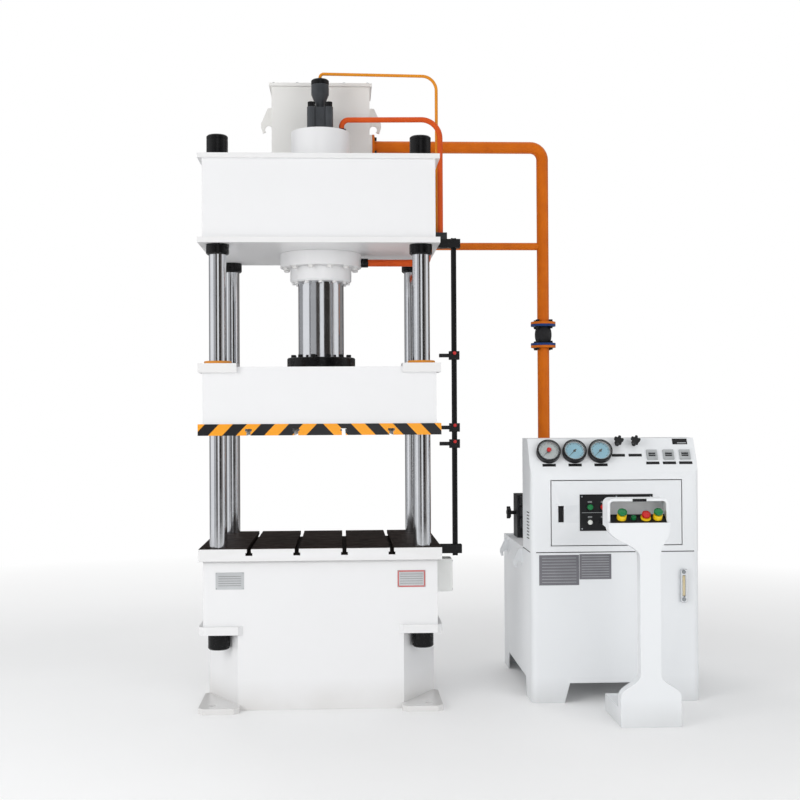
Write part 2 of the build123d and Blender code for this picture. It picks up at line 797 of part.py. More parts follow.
save("pipe_unions", disc(union_diameter, boss_top, pressure_start, pressure_start_x),
     disc(pilot_union_diameter, cap_top, pilot_start), port_union)
manifold_y = (pressure_run_y + pilot_run_y) / 2
save("side_manifold", block(wall_x, wall_x + manifold_width, manifold_y - manifold_depth / 2,
                            manifold_y + manifold_depth / 2, manifold_bottom, manifold_top))

# Stroke limit rod in its two brackets, its clamped switches and the terminal box on the bed
limit_rod_x = half_width + limit_rod_reach
lower_bracket_z = bed_top + lower_bracket_rise
upper_bracket_z = crown_bottom - upper_bracket_drop
limit_rod_bottom = lower_bracket_z - limit_rod_low_end
limit_rod_top = upper_bracket_z + limit_bracket_height + limit_rod_high_end
rod_left, rod_right = limit_rod_x - limit_rod_width / 2, limit_rod_x + limit_rod_width / 2
rod_front, rod_back = limit_rod_y - limit_rod_depth / 2, limit_rod_y + limit_rod_depth / 2
limit_rod = block(rod_left, rod_right, rod_front, rod_back, limit_rod_bottom, limit_rod_top)
limit_rod -= block(limit_rod_x - limit_slot_width / 2, limit_rod_x + limit_slot_width / 2,
                   rod_front - overrun, rod_front + limit_slot_depth,
                   limit_rod_bottom - overrun, limit_rod_top + overrun)


def rod_hole(z0, z1):
    """Room for the rod, with its fit, between two heights."""
    return block(rod_left - free_fit, rod_right + free_fit, rod_front - free_fit, rod_back + free_fit,
                 z0 - overrun, z1 + overrun)


def rod_bracket(z):
    """Bracket from the edge of the table or the crown to the rod."""
    body = block(half_width, rod_right + limit_bracket_edge, limit_rod_y - limit_bracket_depth / 2,
                 limit_rod_y + limit_bracket_depth / 2, z, z + limit_bracket_height)
    return body - rod_hole(z, z + limit_bracket_height)


def limit_switch(z):
    """Clamp on the rod with a sensor that looks at the slide."""
    low, high = z - limit_clamp_height / 2, z + limit_clamp_height / 2
    left = limit_rod_x - limit_clamp_width / 2
    clamp = block(left, left + limit_clamp_width, limit_rod_y - limit_clamp_depth / 2,
                  limit_rod_y + limit_clamp_depth / 2, low, high)
    clamp += bar_x(limit_sensor_diameter, left - limit_sensor_length, left, limit_rod_y, z)
    return clamp - rod_hole(low, high)


save("limit_rod", limit_rod, rod_bracket(upper_bracket_z), rod_bracket(lower_bracket_z))
save("limit_switches", *[limit_switch(slide_bottom + rise) for rise in limit_switch_rises])
terminal_box = block(wall_x, wall_x + terminal_box_reach, terminal_box_y - terminal_box_depth / 2,
                     terminal_box_y + terminal_box_depth / 2, terminal_box_bottom,
                     terminal_box_bottom + terminal_box_height)
outer_face = terminal_box.faces().sort_by(Axis.X)[-1]
save("terminal_box", fillet(outer_face.edges(), radius=terminal_box_fillet))

def front_rounded(solid, radius):
    """Round the two upright front edges of a box."""
    edges = solid.edges().filter_by(Axis.Z).sort_by(Axis.Y)[:2]
    return fillet(edges, radius=radius)


# Oil tank of the power unit, on sheet legs, with hooks on both sides
tank_inner = (unit_left + tank_sheet, unit_right - tank_sheet,
              unit_front + tank_sheet, unit_rear - tank_sheet)
oil_tank = front_rounded(block(unit_left, unit_right, unit_front, unit_rear, 0, tank_top), tank_corner)
tank_room = block(*tank_inner, tank_floor + tank_sheet, tank_top - tank_plate)
oil_tank -= front_rounded(tank_room, tank_corner - tank_sheet)
oil_tank -= front_rounded(block(*tank_inner, -overrun, tank_floor), tank_corner - tank_sheet)


def leg_arch(low, high):
    """Opening between two legs, seen across the tank."""
    foot_low, foot_high = low + tank_leg_width, high - tank_leg_width
    return polygon((foot_low, -overrun), (foot_low + tank_leg_taper, tank_floor),
                   (foot_high - tank_leg_taper, tank_floor), (foot_high, -overrun))


oil_tank -= across(leg_arch(unit_left, unit_right), unit_front - overrun, unit_rear + overrun)
oil_tank -= along(leg_arch(unit_front, unit_rear), unit_left - overrun, unit_right + overrun)
for spot_share in tank_hook_spots_share:
    spot_y = unit_front + unit_depth * spot_share
    right_hook = hook(tank_hook_reach, tank_hook_height, tank_hook_thickness, unit_right,
                      tank_top - tank_hook_drop, spot_y)
    left_hook = mirror(right_hook, about=Plane.YZ.offset((unit_left + unit_right) / 2))
    oil_tank += [right_hook, left_hook]
save("oil_tank", oil_tank)


console_slope_bottom = tank_top + console_front_height
console_top = console_slope_bottom + console_slope_rise


def console_body(inset, bottom):
    """Console with a sloped instrument face, smaller all round by an inset."""
    low_front = (unit_front + inset, bottom)
    slope_low = (unit_front + inset, console_slope_bottom - inset / 2)
    slope_high = (unit_front + console_slope_run + inset / 2, console_top - inset)
    high_rear = (unit_front + console_depth - inset, console_top - inset)
    low_rear = (unit_front + console_depth - inset, bottom)
    body = along(polygon(low_front, slope_low, slope_high, high_rear, low_rear),
                 unit_left + inset, unit_right - inset)
    upright = body.edges().filter_by(Axis.Z).sort_by(Axis.Y)[:2]
    return fillet(upright, radius=console_corner - inset)


# Console shell, open to the tank below, with pivot pins for its door
door_left = unit_left + door_inset
door_right = door_left + door_width
door_bottom = tank_top + door_rise
door_top = door_bottom + door_height
pivot_x = door_right - hinge_pin_inset
pivot_y = unit_front + hinge_pin_inset
console = console_body(0, tank_top) - console_body(console_sheet, tank_top - overrun)
console -= block(door_left - door_gap, door_right + door_gap, unit_front - overrun,
                 unit_front + hinge_lug_depth, door_bottom - door_gap, door_top + door_gap)
pin_spots = ((door_top + door_gap, 1), (door_bottom - door_gap, -1))
for frame_z, way in pin_spots:
    lug_z = sorted((frame_z, frame_z + way * hinge_lug_height))
    pin_z = sorted((frame_z, frame_z - way * hinge_pin_reach))
    console += block(pivot_x - hinge_lug_width / 2, pivot_x + hinge_lug_width / 2,
                     unit_front + console_sheet, unit_front + hinge_lug_depth, *lug_z)
    console += disc(hinge_pin_diameter, *pin_z, pivot_x, pivot_y)
save("console", console)

# Door tray with a recessed handle cup and holes for what stands on its panel
door = block(door_left, door_right, unit_front, unit_front + door_lip, door_bottom, door_top)
door -= block(door_left + door_sheet, door_right - door_sheet, unit_front + door_sheet,
              unit_front + door_lip + overrun, door_bottom + door_sheet, door_top - door_sheet)
handle_x, handle_z = door_left + handle_inset, door_bottom + handle_rise
handle_low, handle_high = handle_z - handle_height / 2, handle_z + handle_height / 2
handle_left, handle_right = handle_x - handle_width / 2, handle_x + handle_width / 2
door += block(handle_left - handle_cup_rim, handle_right + handle_cup_rim, unit_front,
              unit_front + handle_cup_depth + handle_cup_rim,
              handle_low - handle_cup_rim, handle_high + handle_cup_rim)
door -= block(handle_left, handle_right, unit_front - overrun, unit_front + handle_cup_depth,
              handle_low, handle_high)
handle_axis_y = unit_front + handle_cup_depth / 2
handle_axis_z = handle_high - handle_pivot_drop
door += bar_x(handle_pivot, handle_left, handle_right, handle_axis_y, handle_axis_z)
door -= disc(hinge_pin_diameter + 2 * free_fit, door_bottom - overrun, door_top + overrun, pivot_x, pivot_y)
panel_left, panel_right = door_left + panel_inset, door_left + panel_inset + panel_width
panel_bottom, panel_top = door_bottom + panel_rise, door_bottom + panel_rise + panel_height
panel_first_x, panel_upper_z = panel_left + panel_first_inset, panel_top - panel_upper_drop
panel_spots = [(panel_first_x + column * panel_pitch, panel_upper_z - row * panel_row_gap)
               for row in range(panel_rows) for column in range(panel_columns)]
moving_spots = panel_spots[0], panel_spots[1], panel_spots[panel_columns + 1]
stem_hole = panel_button_diameter + 2 * button_fit
door -= [bar_y(stem_hole, unit_front - overrun, unit_front + door_sheet + overrun, x, z)
         for x, z in moving_spots]
save("console_door", door)

# Control panel with a raised bezel at each place; lamps fill their bezels
panel_face = unit_front - panel_thickness
bezel_face = panel_face - panel_bezel_proud
control_panel = block(panel_left, panel_right, panel_face, unit_front, panel_bottom, panel_top)
control_panel += [bar_y(panel_button_guard, bezel_face, panel_face, x, z) for x, z in panel_spots]
control_panel -= [bar_y(stem_hole, bezel_face - overrun, unit_front + overrun, x, z) for x, z in moving_spots]
save("control_panel", control_panel)


def panel_button(x, z, proud):
    """Push button through the panel and the door."""
    return bar_y(panel_button_diameter, bezel_face - proud, unit_front + door_sheet + panel_button_tail, x, z)


save("panel_start_button", panel_button(*moving_spots[0], panel_button_proud))
save("panel_stop_button", panel_button(*moving_spots[1], panel_button_proud))
selector_x, selector_z = moving_spots[2]
selector = panel_button(selector_x, selector_z, selector_face)
selector_radius = panel_button_diameter / 2 - button_fit
selector += block(selector_x - selector_grip / 2, selector_x + selector_grip / 2,
                  bezel_face - selector_face - selector_reach, bezel_face - selector_face,
                  selector_z - selector_radius, selector_z + selector_radius)
save("panel_selector", selector)

# Paddle handle that lies in the door's cup and turns out about its upper end
handle = block(handle_left + handle_side_gap, handle_right - handle_side_gap,
               unit_front + handle_side_gap, unit_front + handle_side_gap + handle_thickness,
               handle_low + handle_side_gap, handle_high - handle_top_gap)
handle += bar_x(handle_eye, handle_left + handle_side_gap, handle_right - handle_side_gap,
                handle_axis_y, handle_axis_z)
handle -= bar_x(handle_pivot + 2 * free_fit, handle_left, handle_right, handle_axis_y, handle_axis_z)
save("door_handle", handle)

def on_slope(inset, rise):
    """Plane on the sloped face, from the unit's left side and the slope's foot, with Z out of the face."""
    y = unit_front + rise / console_slope_rise * console_slope_run
    return Plane((unit_left + inset, y, console_slope_bottom + rise), x_dir=(1, 0, 0),
                 z_dir=(0, -console_slope_rise, console_slope_run))


# Gauges, each with a needle on its spindle
dial_height = gauge_proud - gauge_dial_depth
gauge_radius = gauge_diameter / 2
gauge_bore = gauge_radius - gauge_rim
spindle_top = dial_height + needle_lift + needle_thickness + needle_lift
gauge = turned([
    (0, 0), (gauge_radius - gauge_rim / 2, 0), (gauge_radius, gauge_rim / 2),
    (gauge_radius, gauge_proud - gauge_rim / 2), (gauge_radius - gauge_rim / 2, gauge_proud),
    (gauge_bore, gauge_proud), (gauge_bore, dial_height), (spindle_diameter / 2, dial_height),
    (spindle_diameter / 2, spindle_top), (0, spindle_top)])
gauge_planes = [on_slope(gauge_first_inset + i * gauge_pitch, gauge_rise) for i in range(gauge_count)]
save("gauge_cases", *[plane * gauge for plane in gauge_planes])
needle_low = dial_height + needle_lift
needle_high = needle_low + needle_thickness
needle_tip = polygon((-needle_hub, -needle_width / 2), (needle_length, 0), (-needle_hub, needle_width / 2))
needle = Pos(0, 0, needle_low) * extrude(needle_tip, amount=needle_thickness)
needle += disc(needle_hub, needle_low, needle_high)
needle -= disc(spindle_diameter + 2 * free_fit, needle_low - overrun, needle_high + overrun)
for i, plane in enumerate(gauge_planes):
    save(f"gauge_needle_{i + 1}", plane * (Rot(0, 0, needle_zero) * needle))


def star_knob(diameter, height, stem_diameter, stem_height):
    """Star knob on its stem, standing just clear of the face below it."""
    lobe = diameter * star_lobe_share
    orbit = diameter / 2 - lobe / 2
    plan = Circle(diameter * star_core_share / 2)
    plan += [Rot(0, 0, 360 * i / star_lobes) * Pos(orbit, 0) * Circle(lobe / 2) for i in range(star_lobes)]
    head = Pos(0, 0, stem_height) * extrude(plan, amount=height)
    return head + disc(stem_diameter, free_fit, stem_height)


knob = star_knob(star_knob_diameter, star_knob_height, star_stem_diameter, star_stem_height)
for side, inset in zip(("left", "right"), star_knob_insets):
    save(f"star_knob_{side}", on_slope(inset, star_knob_rise) * knob)
counter = Pos(0, 0, counter_proud / 2) * Box(counter_size, counter_size, counter_proud)
counter_window = Box(counter_window_width, counter_window_height, 2 * counter_window_depth)
counter -= Pos(0, 0, counter_proud) * counter_window
save("counters", *[on_slope(inset, counter_rise) * counter for inset in counter_insets])
level_x, level_z = unit_right - level_inset, tank_top - level_drop
level_gauge = block(level_x - level_width / 2, level_x + level_width / 2,
                    unit_front - level_depth, unit_front,
                    level_z - level_height / 2, level_z + level_height / 2)
level_gauge -= block(level_x - level_glass_width / 2, level_x + level_glass_width / 2,
                     unit_front - level_depth - overrun, unit_front - level_depth + level_glass_depth,
                     level_z - level_glass_height / 2, level_z + level_glass_height / 2)
save("oil_level_gauge", level_gauge)

# Pump set on the tank: finned motor with its fan cover, bell housing and pump
pump_axis_y, pump_axis_z = unit_front + pump_setback, tank_top + pump_rise
motor_left = unit_left + motor_inset
motor_right = motor_left + motor_length
motor_plane = Plane((motor_left, pump_axis_y, pump_axis_z), x_dir=(0, 1, 0), z_dir=(1, 0, 0))
fin_reach = motor_diameter / 2 + motor_fin_height
motor_section = Circle(motor_diameter / 2)
motor_section += [Rot(0, 0, 360 * i / motor_fin_count) * Pos(fin_reach / 2, 0)
                  * Rectangle(fin_reach, motor_fin_width) for i in range(motor_fin_count)]
shaft_hole = rotor_shaft_diameter + 2 * free_fit
motor_section -= Circle(shaft_hole / 2)
motor = extrude(motor_plane * motor_section, amount=motor_length)
motor_middle = motor_left + motor_length / 2
foot_block = block(motor_middle - motor_foot_length / 2, motor_middle + motor_foot_length / 2,
                   pump_axis_y - motor_foot_width / 2, pump_axis_y + motor_foot_width / 2,
                   tank_top, pump_axis_z)
motor += foot_block - bar_x(motor_diameter, motor_left, motor_right, pump_axis_y, pump_axis_z)
cover_outer = motor_diameter + 2 * motor_fin_height
fan_cover = bar_x(cover_outer, motor_right, motor_right + fan_cover_length, pump_axis_y, pump_axis_z)
fan_cover -= bar_x(cover_outer - 2 * fan_cover_sheet, motor_right - overrun,
                   motor_right + fan_cover_length - fan_cover_sheet, pump_axis_y, pump_axis_z)
save("motor", motor, fan_cover)
bell_left = motor_left - bell_length
fan_left = motor_right + (fan_cover_length - fan_width) / 2
shaft_left = bell_left + bell_wall + rotor_shaft_gap
rotor = bar_x(rotor_shaft_diameter, shaft_left, fan_left, pump_axis_y, pump_axis_z)
rotor += bar_x(fan_diameter, fan_left, fan_left + fan_width, pump_axis_y, pump_axis_z)
save("motor_rotor", rotor)
bell = bar_x(bell_diameter, bell_left, motor_left, pump_axis_y, pump_axis_z)
bell -= bar_x(bell_diameter - 2 * bell_wall, bell_left + bell_wall, motor_left + overrun,
              pump_axis_y, pump_axis_z)
pump = bar_x(pump_diameter, bell_left - pump_length, bell_left, pump_axis_y, pump_axis_z)
save("pump_set", bell, pump)

# Valve manifold beside the pump, with stacked valves and a hand knob
manifold_block_left = unit_left + manifold_block_inset
stack_right = manifold_block_left + manifold_block_length
stack_front = pump_axis_y - manifold_block_depth / 2
stack_back = pump_axis_y + manifold_block_depth / 2
stack_top = tank_top + manifold_block_height
valve_stack = block(manifold_block_left, stack_right, stack_front, stack_back, tank_top, stack_top)
for i in range(valve_body_count):
    body_z = stack_top - valve_body_gap * (i + 0.5)
    valve_stack += block(manifold_block_left + valve_body_inset, stack_right - valve_body_inset,
                         stack_front - valve_body_reach, stack_back + valve_body_reach,
                         body_z - valve_body_size / 2, body_z + valve_body_size / 2)
save("valve_manifold", valve_stack)
knob_plane = Plane((manifold_block_left, pump_axis_y, tank_top + hand_knob_rise),
                   x_dir=(0, 1, 0), z_dir=(-1, 0, 0))
save("hand_knob", knob_plane * star_knob(hand_knob_diameter, hand_knob_height,
                                         hand_stem_diameter, hand_stem_length))

# Control pedestal: folded post with flared foot and head
post_centre_x = unit_left + post_inset
base_left = post_centre_x - post_base_width / 2
base_right = post_centre_x + post_base_width / 2
neck_left = post_centre_x - post_neck_width / 2
neck_right = post_centre_x + post_neck_width / 2
head_left, head_right = post_centre_x - head_left_reach, post_centre_x + head_right_reach
head_top = head_bottom + head_height
strip_front_z = head_bottom + strip_lift


def post_outline(inset, bottom):
    """Front outline of the post, smaller all round by an inset."""
    foot_l, foot_r = base_left + inset, base_right - inset
    waist_l, waist_r = neck_left + inset, neck_right - inset
    crest_l, crest_r = head_left + inset, head_right - inset
    crest = strip_front_z - inset
    sides = [
        Line((foot_l, bottom), (foot_l, post_base_height)),
        flare(foot_l, post_base_height, waist_l, post_neck_bottom),
        Line((waist_l, post_neck_bottom), (waist_l, post_neck_top)),
        flare(waist_l, post_neck_top, crest_l, head_bottom),
        Polyline((crest_l, head_bottom), (crest_l, crest), (crest_r, crest), (crest_r, head_bottom)),
        flare(crest_r, head_bottom, waist_r, post_neck_top),
        Line((waist_r, post_neck_top), (waist_r, post_neck_bottom)),
        flare(waist_r, post_neck_bottom, foot_r, post_base_height),
        Polyline((foot_r, post_base_height), (foot_r, bottom), (foot_l, bottom)),
    ]
    return make_face(sides)


post_back = post_front + post_depth
post = across(post_outline(0, 0), post_front, post_back)
post -= across(post_outline(post_sheet, -overrun), post_front + post_sheet, post_back - post_sheet)
save("pedestal_post", post)
base_back = post_front + base_box_depth
base_box = block(base_left, base_right, post_back, base_back, 0, base_box_height)
base_box -= block(base_left + base_box_sheet, base_right - base_box_sheet, post_back + base_box_sheet,
                  base_back - base_box_sheet, -overrun, base_box_height - base_box_sheet)
save("pedestal_base", base_box)

# Pedestal head: rear casing and a hood over the button strip
head_back = post_front + head_depth
hood_front = post_front + head_hood_setback


def head_outline(inset, low_z):
    """Casing outline, tapering to the neck below and rounded at its top corners."""
    points = [(head_left + inset, head_top - inset), (head_right - inset, head_top - inset)]
    points += [(head_right - inset, head_bottom)]
    if low_z < head_bottom:
        points += [(neck_right - inset, low_z), (neck_left + inset, low_z)]
    points += [(head_left + inset, head_bottom)]
    face = polygon(*points)
    return fillet(face.vertices().sort_by(Axis.Y)[-2:], radius=head_corner - inset)


def flat_outline(inset, low_z):
    """Hood outline above the button strip."""
    face = polygon((head_left + inset, low_z), (head_left + inset, head_top - inset),
                   (head_right - inset, head_top - inset), (head_right - inset, low_z))
    return fillet(face.vertices().sort_by(Axis.Y)[-2:], radius=head_corner - inset)


head = across(head_outline(0, head_rear_bottom), post_back, head_back)
head -= across(head_outline(post_sheet, head_rear_bottom + post_sheet),
               post_back - overrun, head_back - post_sheet)
hood = across(flat_outline(0, strip_front_z), hood_front, post_back)
hood -= across(flat_outline(head_frame, strip_front_z - overrun), hood_front - overrun, post_back + overrun)
save("pedestal_head", head + hood)

# Sloped button strip between the hood's cheeks, with collars and buttons square to it
strip_left = head_left + head_frame + free_fit
strip_right = head_right - head_frame - free_fit
button_places_x = [head_left + inset for inset in button_insets]
strip_profile = polygon((post_front, strip_front_z), (post_front + strip_run, strip_front_z + strip_rise),
                        (post_front + strip_run, strip_front_z))
strip = along(strip_profile, strip_left, strip_right)


def on_strip(x):
    """Plane in the middle of the strip's face, with Z out of it."""
    middle = (x, post_front + strip_run / 2, strip_front_z + strip_rise / 2)
    return Plane(middle, x_dir=(1, 0, 0), z_dir=(0, -strip_rise, strip_run))


stem_bore = palm_stem_diameter + 2 * button_fit
start_bore = start_diameter + 2 * button_fit
bores = (stem_bore, start_bore, stem_bore, stem_bore)
strip -= [on_strip(x) * disc(bore, -stem_depth - palm_travel - button_fit, overrun)
          for x, bore in zip(button_places_x, bores)]
save("button_strip", strip)
left_x, start_x, stop_x, right_x = button_places_x
tall_collar = ring(collar_outer, stem_bore, 0, collar_proud)
low_collar = ring(stop_collar_outer, stem_bore, 0, stop_collar_proud)
save("button_collars", on_strip(left_x) * tall_collar, on_strip(right_x) * tall_collar,
     on_strip(stop_x) * low_collar)


def palm_button(collar_height_here, cap_diameter, cap_height):
    """Palm button whose stem runs in its collar."""
    low = collar_height_here + palm_gap
    rim = cap_diameter / 2
    stem = palm_stem_diameter / 2
    edge = cap_height * palm_edge_share
    return turned([(0, -stem_depth), (stem, -stem_depth), (stem, low), (rim, low),
                   (rim, low + cap_height - edge), (rim - edge, low + cap_height), (0, low + cap_height)])


palm = palm_button(collar_proud, palm_diameter, palm_cap_height)
save("palm_button_left", on_strip(left_x) * palm)
save("palm_button_right", on_strip(right_x) * palm)
save("stop_button", on_strip(stop_x) * palm_button(stop_collar_proud, stop_cap_diameter, stop_cap_height))
save("start_button", on_strip(start_x) * disc(start_diameter, -stem_depth, start_height))
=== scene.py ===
"""Dresses the hydraulic stamping press: its finishes, small hardware, instruments and studio."""

import json
import logging
import math
from dataclasses import dataclass
from enum import Enum
from functools import lru_cache
from typing import Any, Optional, Sequence

import bmesh
import bpy
from bpy.types import Material, Node, NodeSocket, NodeTree, Object
from mathutils import Matrix, Vector

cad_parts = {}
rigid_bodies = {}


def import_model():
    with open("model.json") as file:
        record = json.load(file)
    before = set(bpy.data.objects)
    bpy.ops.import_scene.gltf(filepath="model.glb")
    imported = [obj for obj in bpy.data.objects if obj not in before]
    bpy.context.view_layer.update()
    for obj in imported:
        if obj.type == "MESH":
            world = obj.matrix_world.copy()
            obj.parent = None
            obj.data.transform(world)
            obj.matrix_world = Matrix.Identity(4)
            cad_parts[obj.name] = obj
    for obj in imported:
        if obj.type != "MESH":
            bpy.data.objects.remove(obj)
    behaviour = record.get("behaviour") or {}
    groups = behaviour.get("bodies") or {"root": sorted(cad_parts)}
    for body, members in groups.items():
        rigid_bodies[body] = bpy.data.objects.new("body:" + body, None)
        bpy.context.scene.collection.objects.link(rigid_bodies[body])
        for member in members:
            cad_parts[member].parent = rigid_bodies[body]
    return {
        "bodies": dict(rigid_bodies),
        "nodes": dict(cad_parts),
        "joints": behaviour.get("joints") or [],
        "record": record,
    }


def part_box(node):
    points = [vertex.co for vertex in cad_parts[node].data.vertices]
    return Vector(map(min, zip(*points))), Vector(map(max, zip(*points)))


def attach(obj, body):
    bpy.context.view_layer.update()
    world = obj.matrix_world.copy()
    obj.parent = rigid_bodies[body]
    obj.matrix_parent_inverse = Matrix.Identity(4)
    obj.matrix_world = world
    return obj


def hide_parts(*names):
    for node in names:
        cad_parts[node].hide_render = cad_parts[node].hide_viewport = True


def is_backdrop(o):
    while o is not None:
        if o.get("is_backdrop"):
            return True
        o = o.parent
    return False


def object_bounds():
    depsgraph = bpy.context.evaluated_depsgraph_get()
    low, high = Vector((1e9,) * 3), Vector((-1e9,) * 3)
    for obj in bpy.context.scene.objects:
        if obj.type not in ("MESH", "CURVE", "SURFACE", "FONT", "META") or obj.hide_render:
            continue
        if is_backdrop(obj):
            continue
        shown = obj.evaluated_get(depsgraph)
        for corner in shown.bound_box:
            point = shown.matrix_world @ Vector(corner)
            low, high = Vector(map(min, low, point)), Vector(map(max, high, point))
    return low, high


Point = Sequence[float]
Profile = Sequence[Point]

LOG = logging.getLogger("press")
MM = 0.001
ORIGIN = (0, 0, 0)
FRONT = (0, -1, 0)
RIGHT = (1, 0, 0)
UP = (0, 0, 1)
DOWN = (0, 0, -1)

# How meshes are smoothed, welded and bevelled
SMOOTH_ANGLE = math.radians(32)
FLAT_ANGLE = math.radians(0.6)
WELD_GAP = 0.01 * MM
EDGE_STEPS = 2
BLOCK_EDGE_STEPS = 3
TURNED_STEPS = 56

# How every finish varies: ranges of noise, and shares of what they bring in
DRIFT_RANGE = (0.35, 0.7)
DRIFT_DETAIL = 4.0
GLOSS_RANGE = (0.3, 0.7)
GLOSS_DETAIL = 6.0
GLOSS_SIZE_SHARE = 0.4
GRAIN_DETAIL = 2.0
BUMP_STRENGTH = 0.6
GRIME_SHARE = 0.55
WEAR_RANGE = (0.53, 0.62)
WEAR_SHARE = 0.5
COAT_ROUGHNESS = 0.08

# Sockets of the colour mix node, which go by number
MIX_SHARE, MIX_FIRST, MIX_SECOND, MIX_RESULT = 0, 6, 7, 2

# Parts of a screw head, as shares of its height or radius
SHANK_SHARE = 0.84
CROWN_SHARE = 0.16
WASHER_SHARES = (1.2, 0.3)
WASHER_SIDES = 28
KEY_SHARE = 0.6
KEY_SIDES = 6
MARK_THICKNESS_SHARE = 0.3

# Turned profiles: pairs of radius and height, each a share or a length in mm, as their use says
CLAMP_KNOB_SHARES = ((0, 0), (0.45, 0), (0.45, 0.3), (0.9, 0.36), (1, 0.5), (1, 0.85), (0.8, 1), (0, 1.02))
DIAL_CARD = ((0, 0), (1, 0), (1, 0.4), (0, 0.4))
DIAL_GLASS = ((0, 0), (1, 0), (1, 1.2), (0.7, 1.5), (0, 1.7))
DIAL_LIP = ((1, 24.5), (1.05, 25.5), (1.06, 26.8), (1.02, 26.6), (1, 25.6), (1, 24.5))
SETTING_KNOB = ((0, 0), (11, 0), (11, 4), (8, 8), (0, 9))
LAMP_LENS = ((0, 0), (11, 0), (11, 1.5), (9, 3.5), (5, 4.8), (0, 5.2))


def linear(code: str) -> tuple[float, float, float, float]:
    """Turn an sRGB hex colour into linear RGBA.

    Args:
        code: Colour such as "#E4E4E0".

    Returns:
        Linear red, green, blue and an alpha of 1.
    """
    channels = []
    for start in (1, 3, 5):
        value = int(code[start:start + 2], 16) / 255
        channels.append(value / 12.92 if value <= 0.04045 else ((value + 0.055) / 1.055) ** 2.4)
    return (*channels, 1.0)


def link(name: str, data: Any) -> Object:
    """Link a mesh, a lamp or a camera to the scene as an object at the origin."""
    obj = bpy.data.objects.new(name, data)
    bpy.context.scene.collection.objects.link(obj)
    return obj


def add(tree: NodeTree, kind: str, values: Optional[dict] = None) -> Node:
    """Add a node with its settings and links.

    Args:
        tree: Node tree that gets the node.
        kind: Blender's type name of the node.
        values: Node properties first, then values or source sockets of inputs, by name or index.

    Returns:
        The new node.
    """
    node = tree.nodes.new(kind)
    for key, value in (values or {}).items():
        if isinstance(value, NodeSocket):
            tree.links.new(value, node.inputs[key])
        elif isinstance(key, int) or key in node.inputs:
            node.inputs[key].default_value = value
        else:
            setattr(node, key, value)
    return node


def maths(tree: NodeTree, operation: str, *values: Any) -> NodeSocket:
    """Add a maths node on numbers or sockets."""
    return add(tree, "ShaderNodeMath", {"operation": operation, **dict(enumerate(values))}).outputs["Value"]


def noise(tree: NodeTree, coords: NodeSocket, size_mm: float, detail: float) -> NodeSocket:
    """Add a noise texture with spots of about a given size."""
    values = {"Scale": 1 / (size_mm * MM), "Detail": detail, "Vector": coords}
    return add(tree, "ShaderNodeTexNoise", values).outputs["Fac"]


def ranged(tree: NodeTree, value: NodeSocket, source: Point, target: Point = (0.0, 1.0)) -> NodeSocket:
    """Map a value from one range to another, and stop it at the ends.

    Args:
        tree: Node tree that gets the node.
        value: Value to map.
        source: Range that it comes from.
        target: Range that it goes to.

    Returns:
        Mapped value.
    """
    return add(tree, "ShaderNodeMapRange", {
        "From Min": source[0], "From Max": source[1], "To Min": target[0], "To Max": target[1],
        "Value": value}).outputs["Result"]


def blend(tree: NodeTree, share: NodeSocket, first: Any, second: Any) -> NodeSocket:
    """Mix two colours, each a socket or a linear colour, by the share of the second."""
    return add(tree, "ShaderNodeMix", {
        "data_type": "RGBA", MIX_SHARE: share, MIX_FIRST: first, MIX_SECOND: second}).outputs[MIX_RESULT]


